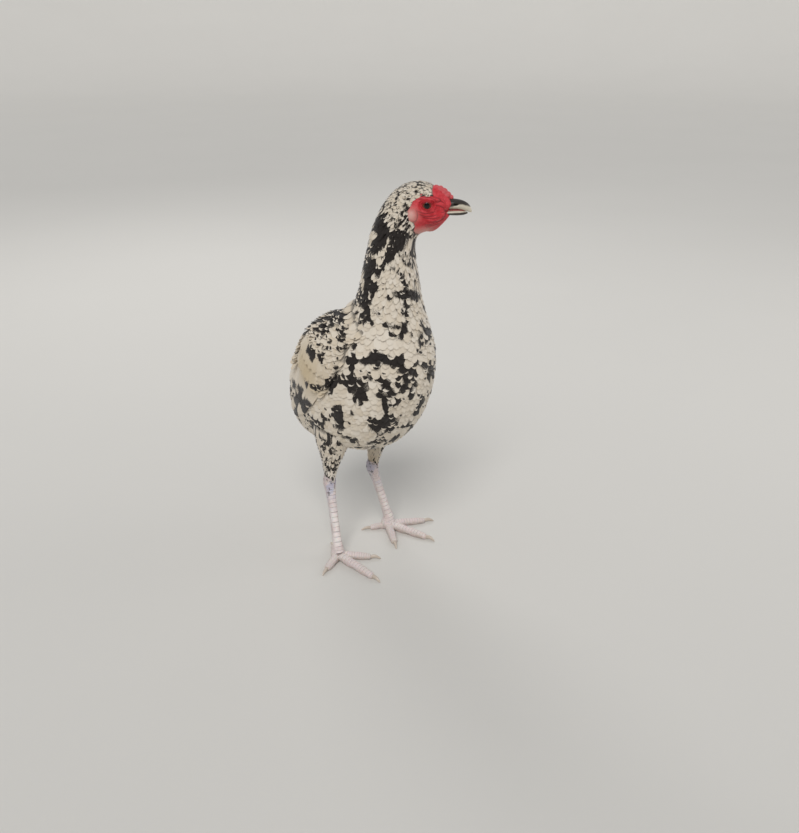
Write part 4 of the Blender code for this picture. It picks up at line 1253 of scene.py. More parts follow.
class HEN_OT_skin(bpy.types.Operator):
    """Her whole skin: body, neck and head, the bare face with its folds, the thighs, legs and feet"""
    bl_idname = "hen.skin"
    bl_label = "Skin"

    def execute(self, context):
        mesh = mesh_from("skin", body_skin())
        bm = bmesh.new()
        bm.from_mesh(mesh)
        for side in LEGS:
            thigh = mesh_from("thigh", rolled(32, 30, thigh_surface(side, sizes().body_coat)))
            for part, finish in ((thigh, 0), (leg_mesh(side), 1)):
                start = len(bm.faces)
                bm.from_mesh(part)
                bm.faces.ensure_lookup_table()
                for face in bm.faces[start:]:
                    face.material_index = finish
                bpy.data.meshes.remove(part)
        clip_floor(bm)
        bm.to_mesh(mesh)
        bm.free()
        mesh.shade_smooth()
        self.colour(mesh)
        made = placed_object("skin", mesh)
        mesh.materials.append(skin_finish())
        mesh.materials.append(leg_finish())
        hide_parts("torso", "neck_lower", "neck_upper", "head", "wing_left", "wing_right", "tail",
                    "thigh_left", "thigh_right", "shank_left", "shank_right", "foot_left", "foot_right",
                    "comb")
        return {"FINISHED"}

    def colour(self, mesh):
        """Stores how bare, pale and dark the skin is at each vertex, and its map."""
        places = places_of(mesh)
        forward, sideways, height = head_plane(places)
        bare = ramp(0.01, 0.22, bare_share(forward, height)) * (places[:, 2] > HEAD_BOTTOM)
        _, crease = face_relief(forward, sideways, height)
        lobe = hill((forward, 0.0835, 0.0075), (height, 0.4745, 0.0085))
        throat = ramp(0.4640, 0.4530, height) * ramp(0.122, 0.100, forward)
        pale = np.clip(lobe + throat * 0.8, 0, 1)
        t, u = nearest_on_body(places)
        thigh = (np.abs(places[:, 0] - SHIFT[0]) > 0.012) & (places[:, 2] < BODY_BOTTOM)
        dark = np.where(thigh, thigh_darkness(places), body_darkness(t, u, places))
        dark = np.clip(contrasted(dark), 0, 1)
        # painted shade: the depth in the face's creases is stored so that the skin is painted darker red
        # there
        add_skin_marks(mesh, np.stack((bare, pale, dark * (1 - bare), 0 * dark), axis=-1), crease * bare)
        count, front = scute_places(places)
        add_values(mesh, "scute_count", count)
        add_values(mesh, "scute_front", front)
        angle = np.arctan2(places[:, 0] - SHIFT[0], -(places[:, 1] - SHIFT[1]) - 0.03) / (2 * pi) + 0.5
        add_uv(mesh, "OFBake", np.stack((angle, np.clip(places[:, 2] / 0.52, 0, 1)), axis=-1))


def head_plane(places):
    """Forward, sideways and height in the head's own plane."""
    x = places[:, 0] - SHIFT[0]
    y = places[:, 1] - SHIFT[1] + NECK_AXIS
    forward = x * sin(HEAD_TURN) - y * cos(HEAD_TURN) + NECK_AXIS
    sideways = x * cos(HEAD_TURN) + y * sin(HEAD_TURN)
    return forward, sideways, places[:, 2] - SHIFT[2]


# The comb's lumps: forward, sideways and height of the middle, and radius.
COMB_LUMPS = (
    (0.1130, 0.0, 0.5015, 0.0042), (0.1175, 0.0, 0.5000, 0.0047), (0.1220, 0.0, 0.4975, 0.0046),
    (0.1262, 0.0, 0.4942, 0.0042), (0.1300, 0.0, 0.4912, 0.0032),
    (0.1155, 0.0044, 0.4992, 0.0034), (0.1200, 0.0042, 0.4966, 0.0036), (0.1242, 0.0038, 0.4932, 0.0034),
    (0.1155, -0.0044, 0.4992, 0.0034), (0.1200, -0.0042, 0.4966, 0.0036), (0.1242, -0.0038, 0.4932, 0.0034),
)


def ball(at, radius, segments, rings):
    bm = bmesh.new()
    bmesh.ops.create_uvsphere(bm, u_segments=segments, v_segments=rings, radius=radius)
    bmesh.ops.translate(bm, vec=Vector(at), verts=bm.verts)
    return bm


class HEN_OT_comb(bpy.types.Operator):
    """The low comb: three rows of small fleshy lumps over the root of the beak"""
    bl_idname = "hen.comb"
    bl_label = "Comb"

    def execute(self, context):
        rng = np.random.default_rng(sizes().seed + 1)
        lumps = []
        for forward, sideways, height, radius in COMB_LUMPS:
            lumps.append(temporary("lump", ball(head_place(forward, sideways, height), radius, 20, 14)))
            for _ in range(7):
                turn = rng.uniform(0, 2 * pi)
                rise = rng.uniform(0.25, 1.2)
                away = np.array((cos(turn) * cos(rise), sin(turn) * cos(rise), sin(rise))) * radius * 0.66
                spot = head_place(forward + away[0], sideways + away[1], height + away[2])
                lumps.append(temporary("bud", ball(spot, radius * rng.uniform(0.28, 0.42), 12, 8)))
        mesh = fused(lumps[0], lumps[1:])
        made = placed_object("comb_flesh", mesh)
        remesh = made.modifiers.new("merge", "REMESH")
        remesh.mode = "VOXEL"
        remesh.voxel_size = 0.00035
        soften = made.modifiers.new("soften", "SMOOTH")
        soften.iterations = 4
        mesh = bpy.data.meshes.new_from_object(made.evaluated_get(context.evaluated_depsgraph_get()))
        made.modifiers.clear()
        made.data = mesh
        mesh.shade_smooth()
        mesh.materials.clear()
        mesh.materials.append(skin_finish())
        add_skin_marks(mesh, (1.0, 0.12, 0.0, 0.85), 0.0)
        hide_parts("comb")
        return {"FINISHED"}


class HEN_OT_eyes(bpy.types.Operator):
    """Both eyes, each with its lids: a wet eyeball in a rim of wrinkled skin"""
    bl_idname = "hen.eyes"
    bl_label = "Eyes"

    def execute(self, context):
        for side, word in ((-1, "right"), (1, "left")):
            bm = ball((0, 0, 0), EYE_RADIUS, 64, 40)
            for turn, axis in ((pi / 2, "Y"), (HEAD_TURN, "Z")):
                bmesh.ops.rotate(bm, cent=(0, 0, 0), matrix=Matrix.Rotation(turn, 3, axis), verts=bm.verts)
            middle = head_place(EYE_AT[0], side * EYE_AT[1], EYE_AT[2])
            bmesh.ops.translate(bm, vec=Vector(middle), verts=bm.verts)
            made = finished("eyeball_" + word, bm, eye_finish())
            forward, sideways, height = head_plane(places_of(made.data))
            off = np.hypot(forward - EYE_AT[0], height - EYE_AT[2]) / EYE_RADIUS
            add_values(made.data, "from_pupil", np.where(sideways * side > EYE_AT[1], off, 1.0))
            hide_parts("eye_" + word)
            self.lids(side, word)
        return {"FINISHED"}

    def lids(self, side, word):
        """A closed ring of skin that follows the eyeball, with fine wrinkles across it, painted darker above
        as shade.
        """
        for name, swell, thick, shade in (("inner", 1.00, 0.00062, 0.95), ("outer", 1.26, 0.00070, 0.55)):
            def surface(u, v, swell=swell, thick=thick):
                angle = 2 * pi * v
                wrinkle = 1 + 0.16 * np.sin(angle * 23) + 0.10 * np.sin(angle * 37 + 1)
                size = swell + thick * wrinkle / LID_LONG * np.cos(2 * pi * u)
                ahead = LID_LONG * size * np.cos(angle)
                up = LID_HIGH * size * np.sin(angle) * (1 + 0.10 * np.cos(angle))
                out = thick * wrinkle * np.sin(2 * pi * u)
                dome = np.sqrt(np.clip((EYE_RADIUS + 0.0002) ** 2 - ahead ** 2 - up ** 2, 0, 1))
                return head_place(EYE_AT[0] + ahead, side * (EYE_AT[1] + dome + out), EYE_AT[2] + up)
            made = finished("lid_" + name + "_" + word, rolled(14, 120, surface), skin_finish())
            above = head_plane(places_of(made.data))[2] > EYE_AT[2] + 0.0012
            # painted shade: the lids are painted darker red above the eye's middle, as the shade under the
            # brow, the inner ring most
            add_skin_marks(made.data, (1.0, 0.0, 0.0, 0.0), np.where(above, shade, 0.15))


UPPER_BEAK = np.array((
    # top forward and height, low forward and height, half width
    (0.1240, 0.4900, 0.1250, 0.4780, 0.0090),
    (0.1275, 0.4905, 0.1285, 0.4780, 0.0090),
    (0.1330, 0.4900, 0.1335, 0.4782, 0.0083),
    (0.1400, 0.4890, 0.1400, 0.4778, 0.0067),
    (0.1460, 0.4870, 0.1445, 0.4768, 0.0051),
    (0.1510, 0.4835, 0.1485, 0.4758, 0.0035),
    (0.1540, 0.4785, 0.1520, 0.4745, 0.0018),
    (0.1546, 0.4752, 0.1540, 0.4742, 0.0006),
))
LOWER_BEAK = np.array((
    (0.1250, 0.4772, 0.1245, 0.4714, 0.0084),
    (0.1280, 0.4772, 0.1275, 0.4714, 0.0083),
    (0.1340, 0.4773, 0.1345, 0.4710, 0.0072),
    (0.1400, 0.4769, 0.1410, 0.4710, 0.0054),
    (0.1450, 0.4760, 0.1460, 0.4716, 0.0034),
    (0.1495, 0.4747, 0.1500, 0.4731, 0.0012),
))


def nostril(forward, height):
    """How far a place on the beak's side is from the nostril's middle, 1 at its rim."""
    return ((forward - 0.1355) / 0.0027) ** 2 + ((height - 0.4842) / 0.0012) ** 2


class HEN_OT_beak(bpy.types.Operator):
    """The beak: a curved upper half with its ridge and nostrils, and the lower half"""
    bl_idname = "hen.beak"
    bl_label = "Beak"

    def execute(self, context):
        for half_name, rows in (("upper", UPPER_BEAK), ("lower", LOWER_BEAK)):
            upper = half_name == "upper"

            def place(u, v, rows=rows, upper=upper):
                row = along_sections(rows, v * (len(rows) - 1))
                c = np.cos(2 * pi * u)
                s = np.sin(2 * pi * u)
                middle, half = row_axis(row)
                forward, height = (middle - half * (np.abs(c) ** 0.9 * np.sign(c))[:, None]).T
                side = row[:, 4] * np.abs(s) ** (1.15 if upper else 0.9) * np.sign(s)
                if upper:
                    side = side * (1 - 0.40 * np.exp(-nostril(forward, height) ** 1.5))
                    side = side * (1 + 0.10 * hill((forward, 0.1352, 0.0036), (height, 0.4866, 0.0013)))
                return head_place(forward, side, height)

            made = finished(half_name + "_bill", rolled(72, 150, place),
                            horn_finish("bill_horn", 0.32))
            forward, _, height = head_plane(places_of(made.data))
            if upper:
                ridge = ramp(0.4812, 0.4872, height + 0.34 * np.clip(forward - 0.143, 0, 1))
                # the beak's root is darker horn, and the nostril is painted dark as the shade in its opening
                root = ramp(0.1370, 0.1300, forward) * 0.55 + 0.9 * np.exp(-nostril(forward, height) ** 2)
                tip = ramp(0.1525, 0.1545, forward)
                dark = np.clip(ridge + root * ramp(0.4780, 0.4830, height), 0, 1) * (1 - tip)
            else:
                dark = ramp(0.4765, 0.4735, height) * 0.85
            add_values(made.data, "horn_dark", dark)
            add_values(made.data, "horn_along", 1000 * forward)
            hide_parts("beak_" + half_name)
        self.mouth()
        return {"FINISHED"}

    def mouth(self):
        """The pink skin that shows between the two halves of the beak, painted darker as the shade in that
        gap.
        """
        def place(u, v):
            forward = 0.1235 + 0.0262 * v
            shrink = np.sqrt(np.clip(1 - v ** 4, 0, 1))
            sideways = 0.0078 * (1 - 0.80 * v ** 1.3) * shrink * np.cos(2 * pi * u)
            height = 0.4777 - 0.0014 * v ** 2 + 0.0011 * shrink * np.sin(2 * pi * u)
            return head_place(forward, sideways, height)
        made = finished("mouth_lining", rolled(32, 40, place), skin_finish())
        # painted shade: the lining is painted darker red, as the shade between the beak's halves
        add_skin_marks(made.data, (1.0, 0.25, 0.0, 0.0), 0.8)


class HEN_OT_claws(bpy.types.Operator):
    """The eight claws: curved, narrow, pale horn"""
    bl_idname = "hen.claws"
    bl_label = "Claws"

    def execute(self, context):
        for side in LEGS:
            for toe in TOES[side]:
                _, way, root, tip, radius = toe_places(side, toe)
                points = (root + UP * radius * 0.72 - way * 0.003,
                          root + UP * radius * 0.95 + way * CLAW_LENGTH * 0.35,
                          root + UP * radius * 0.62 + way * CLAW_LENGTH * 0.75, tip + UP * 0.0016)
                radii = (radius * 0.44, radius * 0.42, radius * 0.28, 0.0006)
                surface = tube_surface(points, radii, None, 0.8, (False, False), 8)
                made = finished("claw_horn_" + side + "_" + toe, rolled(20, 36, surface),
                                horn_finish("claw_horn", 0.4))
                along = (places_of(made.data) - SHIFT - root) @ way
                add_values(made.data, "horn_dark", 0.42 - 30 * np.clip(along, 0, 0.01))
                add_values(made.data, "horn_along", 1000 * along)
                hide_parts("claw_" + side + "_" + toe)
        return {"FINISHED"}


def on_body(roots):
    """Which root places on her flanks lie clear of the folded wings."""
    points = body_surface(roots[:, 0], roots[:, 1])
    along, across = wing_share(points)
    ridge = flank_row(SHIFT[1] - points[:, 1], points[:, 2] - SHIFT[2])[3]
    thick = wing_height(along, across) > 0.0125
    covered = thick & (np.abs(ridge) < 0.80) & (along > 0.004) & (along < 0.108)
    return ~(covered & (np.abs(points[:, 0] - SHIFT[0]) > 0.02) & (roots[:, 0] < NECK_START + 0.4))


# How much closer the feathers stand than on the breast, and between which sections that comes in.
CLOSER = ((0.0018, 1.4, 0.1), (0.0013, 7.8, 9.5), (0.0007, 9.5, 12.0), (0.0014, 12.2, 14.0))
WIDEST_GAP = 0.0055
LENGTH_RANGE = (0.88, 1.12)     # how much feathers differ in length from their neighbours
LAST_FEATHER = 18.8             # the section at the root of the beak where the feathers end
FIRST_BARE = 12.6               # the section from which the face may be bare


def body_spacing(t, _, points):
    """How far apart feather roots are: closest on the crown, and none on the bare face."""
    gap = WIDEST_GAP - sum(less * ramp(low, high, t) for less, low, high in CLOSER)
    forward, _, height = head_plane(points)
    bare = bare_share(forward, height) * (t > FIRST_BARE)
    return np.where((bare > 0.5) | (t > LAST_FEATHER), 0, gap * (1 - 0.2 * bare))


# The lengths of the coat, each from one section to another.
COAT_LENGTHS = (
    ("coat_rump", 0.0, 3.4), ("coat_belly", 3.4, 5.4), ("coat_breast", 5.4, 7.0),
    ("coat_shoulders", 7.0, 8.8), ("coat_neck", 8.8, 12.6), ("coat_head", 12.6, LAST_SECTION + 0.1),
)


def feather_darkness(shape, base, draw, rng):
    """Turns darkness at the root and the vertices into each feather's own pattern."""
    v, c = shape.v[None], shape.c[None]
    lean = rng.uniform(-1, 1, (len(base), 1))
    edged = (draw[:, 1:2] < 0.45) * ramp(0.80, 0.97, v)
    half = (draw[:, 2:3] < 0.22) * 0.16 * np.sign(lean) * c
    spot = (draw[:, 3:4] < 0.22) * 0.40 * hill((v, 0.84, 0.11), (c, 0.3 * lean, 0.6))
    return contrasted(base + half + np.where(base > 0.5, -0.30 * edged, spot) + 0.10 * (draw[:, :1] - 0.5))


class HEN_OT_coat(bpy.types.Operator):
    """The body's feathers, from the rump to the crown, thin vanes that overlap towards the tail"""
    bl_idname = "hen.coat"
    bl_label = "Body feathers"

    def execute(self, context):
        own = sizes()
        rng = np.random.default_rng(own.seed)
        roots = scatter(body_surface, (-0.15, LAST_FEATHER), (0, 1), body_spacing, 100000, rng)
        roots = roots[on_body(roots)]
        for name, first, last in COAT_LENGTHS:
            here = roots[(roots[:, 0] >= first - 0.2 * (first == 0)) & (roots[:, 0] < last)]
            self.lay(name, first, last, here, rng)
        return {"FINISHED"}

    def lay(self, name, first, last, roots, rng):
        own = sizes()
        t, u = roots[:, 0], roots[:, 1]
        points = body_surface(t, u)
        forward, _, height = head_plane(points)
        bare = bare_share(forward, height) * (t > FIRST_BARE)
        length = own.breast_feather + (own.neck_feather - own.breast_feather) * ramp(7.8, 9.8, t)
        length = length + (own.crown_feather - length) * ramp(11.6, 14.2, t)
        length = length * (1 - 0.30 * bare) * (0.58 + 0.42 * ramp(0.1, 1.4, t))
        length = length * rng.uniform(*LENGTH_RANGE, len(t))
        width = length * (0.66 - 0.16 * ramp(8.5, 10.5, t) + 0.10 * ramp(12.5, 14.5, t))
        depth = coat_depth(t, forward, height)
        stand = 0.0006 - 0.0004 * ramp(8.5, 13.0, t) + rng.uniform(-0.0003, 0.0005, len(t))
        sway = rng.normal(0, 0.16, len(t)) * 0.5
        _, slope_t, slope_u, _ = frame_at(body_surface, t, u, -1)
        ratio = np.linalg.norm(slope_t, axis=-1) / np.linalg.norm(slope_u, axis=-1)
        headings = np.stack((-np.cos(sway), np.sin(sway) * ratio), axis=-1)
        shape = TINY if first > 12 else SMALL if first > 8 else CONTOUR
        made, p, q = lay_vanes(body_surface, -1, shape, roots, headings, length, width,
                               (-depth * 0.75, stand), rng)
        draw = rng.random((len(t), 4))
        tips = made[:, shape.middle]
        whole = body_darkness(p[:, shape.middle], q[:, shape.middle], tips)[:, None]
        base = WHOLE_FEATHER * whole + (1 - WHOLE_FEATHER) * body_darkness(p, q, made)
        dark = feather_darkness(shape, base, draw, rng)
        warm = 0.12 * draw[:, 2:3] + 0.10 * ramp(0.2, 0.9, 0.5 - 0.5 * np.cos(2 * pi * u))[:, None]
        patches = np.stack((u % 1.0, (t - first + 0.2) / (last - first + 0.2)), axis=-1)
        marks = feather_marks(shape, dark, warm, 0.75 - 0.5 * draw[:, 0])
        feather_mesh(name, shape, made, marks, np.clip(patches, 0, 1), length, plumage_finish())


class HEN_OT_thighs(bpy.types.Operator):
    """The feathers of both thighs, down to the hock"""
    bl_idname = "hen.thighs"
    bl_label = "Thigh feathers"

    def execute(self, context):
        own = sizes()
        rng = np.random.default_rng(own.seed + 2)
        for side in LEGS:
            tube = thigh_surface(side, 0.0)
            _, hock, knee = leg_places(side)

            def surface(p, q, tube=tube, run=knee - hock):
                return tube(q, np.clip(p, 0.0, 0.97)) + np.minimum(p, 0)[..., None] * run

            sign = self.outward(surface)
            roots = scatter(surface, (0.045, 0.955), (0, 1), lambda p, *_: 0.0029 + 0.0017 * p, 26000, rng)
            length = own.thigh_feather * (0.36 + 0.84 * roots[:, 0]) * rng.uniform(*LENGTH_RANGE, len(roots))
            width = length * 0.62
            sway = rng.normal(0, 0.10, len(roots))
            headings = np.stack((-np.ones(len(roots)), sway * 0.5), axis=-1)
            tip_lift = 0.0003 - 0.0011 * ramp(0.45, 0.12, roots[:, 0])
            lifts = (-0.0022, tip_lift + rng.uniform(-0.0002, 0.0004, len(roots)))
            made, _, _ = lay_vanes(surface, sign, SMALL, roots, headings, length, width, lifts, rng)
            points = surface(roots[:, 0], roots[:, 1])
            draw = rng.random((len(roots), 4))
            low_down = ramp(0.45, 0.15, roots[:, 0])
            dark = feather_darkness(SMALL, (thigh_darkness(points) + 0.05 * low_down)[:, None], draw, rng)
            # painted light: the far, left thigh's lower feathers are painted warmer, as the brownish shade on
            # them, and the near, right thigh's paler, as lit
            warm = (0.04 + 0.30 * (side == "left") * low_down)[:, None]
            tone = 0.65 - 0.4 * draw[:, 0] + 0.5 * low_down * (side == "right")
            marks = feather_marks(SMALL, dark, warm, tone)
            patches = np.stack((roots[:, 1] % 1.0, roots[:, 0]), axis=-1)
            feather_mesh("coat_thigh_" + side, SMALL, made, marks, patches, length, plumage_finish())
        return {"FINISHED"}

    def outward(self, surface):
        """Which sign turns the surface's normal away from the leg's middle."""
        p = np.full(2, 0.4)
        q = np.array((0.1, 0.6))
        here, _, _, normal = frame_at(surface, p, q, 1)
        return float(np.sign(((here - here.mean(axis=0)) * normal).sum()))


# Tiers of wing feathers: how many, then the places of the first and last root and the first and last
# tip along and across the wing, the width, and the lifts of roots and tips off the wing's surface.
WING_TIERS = {
    "primaries": (8, (0.080, -0.022), (0.084, -0.002), (0.156, -0.019), (0.185, 0.003),
                  0.0115, -0.0024, 0.0002),
    "secondaries": (13, (0.050, -0.026), (0.056, 0.036), (0.132, -0.023), (0.147, 0.029),
                    0.0125, -0.0026, 0.0014),
    "greater": (13, (0.030, -0.027), (0.038, 0.033), (0.080, -0.027), (0.090, 0.034),
                0.0110, -0.0026, 0.0032),
    "median": (11, (0.014, -0.024), (0.022, 0.028), (0.055, -0.028), (0.064, 0.033),
               0.0115, -0.0026, 0.0044),
}
WING_SHINGLE = 0.0007
WING_COAT = 0.0036              # how deep the wing's flesh lies under its surface
FLESH_SUNK = -0.004             # how deep its inner face lies under the body's surface
FLANK_COVERTS = 0.93            # no small wing feather grows past this share of the flank


def wing_darkness(a, b, points, side):
    """The folded wing's own marks: dark scallops at the shoulder, a plain warm patch, dark tips below."""
    share = 0.30 + 0.22 * ramp(0.030, 0.006, a) + 0.20 * ramp(0.014, 0.034, b) + 0.04 * ramp(0.088, 0.110, a)
    plain = hill((a, 0.072, 0.022), (b, -0.006, 0.022))
    row = hill((a, 0.046, 0.006), (b, -0.002, 0.012))
    return darkness(points, 0.0085, share, float(side < 0)) - 0.20 * plain + 0.12 * row


def wing_warmth(a, b):
    return 0.10 + 0.75 * hill((a, 0.078, 0.030), (b, -0.002, 0.030))


class HEN_OT_wings(bpy.types.Operator):
    """Both folded wings: flight feathers in tiers, their coverts, and small feathers at the shoulder"""
    bl_idname = "hen.wings"
    bl_label = "Wings"

    def execute(self, context):
        own = sizes()
        for side, word in ((-1, "right"), (1, "left")):
            rng = np.random.default_rng(own.seed + 5 + side)
            surface = wing_surface(side)
            self.pad(side, word)
            for tier, numbers in WING_TIERS.items():
                self.tier(surface, side, word, tier, numbers, rng)
            self.shoulder(surface, side, word, rng)
        return {"FINISHED"}

    def pad(self, side, word):
        """The wing's flesh, closed behind by a flat inner face."""
        def place(u, v):
            along = PAD_LENGTH * v - PAD_FRONT
            spread = pad_spread(v)
            c = np.cos(2 * pi * u)
            across = np.where(c > 0, PAD_DORSAL, PAD_VENTRAL) * spread * np.sign(c) * np.abs(c) ** 0.8
            lift = np.where(u < 0.5, wing_height(along, across) - WING_COAT, FLESH_SUNK)
            return flank_surface(*wing_place(along, across), lift, side, FLESH_SUNK)
        made = finished("wing_flesh_" + word, rolled(48, 48, place), skin_finish())
        places = places_of(made.data)
        dark = contrasted(wing_darkness(*wing_share(places), places, side))
        add_skin_marks(made.data, np.clip(dark, 0, 1)[:, None] * (0, 0, 1, 0), 0.0)
        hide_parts("wing_" + word)

    def tier(self, surface, side, word, tier, numbers, rng):
        count, first_root, last_root, first_tip, last_tip, width, root_lift, tip_lift = numbers
        f = np.linspace(0, 1, count)[:, None]
        roots = np.array(first_root) * (1 - f) + np.array(last_root) * f
        tips = np.array(first_tip) * (1 - f) + np.array(last_tip) * f
        tips[:, 0] += np.sin(pi * f[:, 0]) * 0.006 + rng.normal(0, 0.0008, count)
        run = tips - roots
        length = np.linalg.norm(run, axis=1)
        headings = run / length[:, None]
        shape = FLIGHT if tier in ("primaries", "secondaries") else CONTOUR
        made, a, b = lay_vanes(surface, side, shape, roots, headings, length, width, (root_lift, tip_lift),
                               rng, metric=False, shingle=WING_SHINGLE, ragged=0.08)
        draw = rng.random((count, 4))
        shaft = np.argmin(np.abs(shape.v[:, None] - shape.v) + 10 * np.abs(shape.c), axis=1)
        along_shaft = wing_darkness(a[:, shaft], b[:, shaft], made[:, shaft], side)
        dark = 0.35 * wing_darkness(a, b, made, side) + 0.65 * along_shaft + 0.16 * (draw[:, :1] - 0.5)
        edge = 0.14 * ramp(0.86, 0.97, shape.v)[None] * (tier in ("median", "greater"))
        dark = contrasted(dark + edge - 0.03 * (shape is FLIGHT))
        marks = feather_marks(shape, dark, wing_warmth(a, b), 0.6 - 0.4 * draw[:, 0])
        patches = np.clip((roots + (0.02, 0.05)) / (0.22, 0.1), 0, 1)
        feather_mesh("wing_" + tier + "_" + word, shape, made, marks, patches, length, plumage_finish())

    def shoulder(self, surface, side, word, rng):
        """Lesser coverts and scapulars, scattered over the shoulder and the wing's upper edge."""
        def spacing(a, b, _):
            spread = 1.03 * pad_spread(np.clip((a + PAD_FRONT) / PAD_LENGTH, 0.07, 0.99))
            inside = (b < PAD_DORSAL * spread) & (b > -PAD_VENTRAL * spread)
            shoulder = a < 0.028
            upper = (b > 0.026) & (a < 0.10)
            lower = (b < -0.022) & (a < 0.080)
            flank = np.abs(flank_row(*wing_place(a, b))[3]) < FLANK_COVERTS
            return np.where(inside & flank & (shoulder | upper | lower), 0.0040, 0)
        roots = scatter(surface, (-0.017, 0.10), (-0.040, 0.047), spacing, 15000, rng)
        length = 0.0140 * rng.uniform(0.9, 1.1, len(roots)) * (1 + 0.30 * (roots[:, 1] > 0.026))
        tip_across = flank_row(*wing_place(roots[:, 0] + length, roots[:, 1]))[3]
        near_back = ramp(0.62, 0.92, np.abs(tip_across))
        sway = rng.normal(0, 0.10, len(roots)) - 0.20 * near_back
        headings = np.stack((np.cos(sway), np.sin(sway)), axis=-1)
        rise = 0.0034 + 0.0038 * ramp(0.000, 0.022, roots[:, 1]) - 0.0020 * ramp(0.004, -0.010, roots[:, 0])
        rise = (rise + 0.0016 * ramp(0.012, 0.034, roots[:, 1])) * (1 - 0.45 * near_back)
        made, a, b = lay_vanes(surface, side, CONTOUR, roots, headings, length, length * 0.64,
                               (-0.0024, rise + rng.uniform(-0.0003, 0.0004, len(roots))), rng)
        draw = rng.random((len(roots), 4))
        whole = wing_darkness(a[:, CONTOUR.middle], b[:, CONTOUR.middle], made[:, CONTOUR.middle], side)
        base = WHOLE_FEATHER * whole[:, None] + (1 - WHOLE_FEATHER) * wing_darkness(a, b, made, side)
        dark = feather_darkness(CONTOUR, base, draw, rng)
        dark = dark + 0.55 * (draw[:, 1:2] < 0.5) * ramp(0.84, 0.95, CONTOUR.v)[None] * (whole[:, None] < 0.5)
        warm = wing_warmth(roots[:, 0], roots[:, 1])[:, None]
        marks = feather_marks(CONTOUR, dark, warm, 0.6 - 0.5 * draw[:, 0])
        patches = np.clip((roots + (0.02, 0.05)) / (0.14, 0.1), 0, 1)
        feather_mesh("wing_coverts_" + word, CONTOUR, made, marks, patches, length, plumage_finish())


# Tiers of tail feathers: how many, where their roots start along the tail and how far apart they are, where
# the middle tip is and how far apart the tips are, how much shorter each next feather is, the width, and
# the middle feather's lift and how much lower each next one lies.
TAIL_TIERS = (
    ("feathers", (14, -0.004, 0.0008, TAIL_LENGTH - 0.011, 0.00205, 0.0026, 0.0120, 0.0, -0.00060), FLIGHT),
    ("coverts", (13, -0.014, 0.0014, 0.044, 0.0029, 0.0016, 0.0095, 0.0026, -0.00045), CONTOUR),
    ("upper_coverts", (15, -0.022, 0.0016, 0.026, 0.0026, 0.0012, 0.0085, 0.0044, -0.00040), CONTOUR),
)


class HEN_OT_tail(bpy.types.Operator):
    """The tail: two fanned halves of long feathers that meet like a narrow tent, and their coverts"""
    bl_idname = "hen.tail"
    bl_label = "Tail"

    def execute(self, context):
        rng = np.random.default_rng(sizes().seed + 9)
        root, down, side, out = (np.array(one) for one in (TAIL_ROOT, TAIL_DOWN, TAIL_SIDE, TAIL_OUT))

        def surface(a, b):
            tent = -0.22 * np.sqrt(b ** 2 + 1e-6)
            return root + down * a[..., None] + side * b[..., None] + out * tent[..., None] + SHIFT

        sign = float(np.sign((frame_at(surface, np.array(0.02), np.array(0.001), 1)[3] * out).sum()))
        for name, numbers, shape in TAIL_TIERS:
            count, start, spread, length, fan, shorter, width, lift, drop = numbers
            off = np.arange(count) - (count - 1) / 2
            roots = np.stack((np.full(count, start), off * spread), axis=-1)
            reach = length - shorter * np.abs(off) - rng.uniform(0, 0.0016, count)
            tips = np.stack((reach, off * fan), axis=-1)
            run = tips - roots
            reach = np.linalg.norm(run, axis=1)
            tip_lift = lift + drop * np.abs(off) + 0.0002 * (off > 0)
            root_lift = tip_lift - 0.0065 * (shape is CONTOUR)
            tip_lift = tip_lift + rng.uniform(-0.0003, 0.0003, count)
            made = lay_vanes(surface, sign, shape, roots, run / reach[:, None], reach, width,
                             (root_lift, tip_lift), rng, metric=False,
                             shingle=WING_SHINGLE * np.sign(off)[:, None], ragged=0.08)[0]
            draw = rng.random((count, 4))
            tipped = 0.30 * ramp(0.88, 0.97, shape.v)[None] * (draw[:, 1:2] < 0.7)
            dark = contrasted(mottle(made, 0.008) + 0.26 * draw[:, :1] - tipped)
            marks = feather_marks(shape, dark, 0.0, 0.5 - 0.4 * draw[:, 0])
            patches = np.stack((off / count + 0.5, np.full(count, 0.5 + lift * 60)), axis=-1)
            feather_mesh("tail_" + name, shape, made, marks, np.clip(patches, 0, 1), reach, plumage_finish())
        return {"FINISHED"}


# The floor is a flat round that sweeps up at its rim. Lights: size, power in watts, and place.
FLOOR_RADIUS = 7.0
SWEEP_RADIUS = 5.0
LAMPS = (("fill", 1.5, 6.0, (1.7, -1.1, 1.1)), ("rim", 1.0, 10.0, (0.6, 1.7, 1.7)))
WINDOW_AT = (-1.5, -1.3, 2.4)
LIGHTS_AIM = Vector((0.0, -0.03, 0.28))


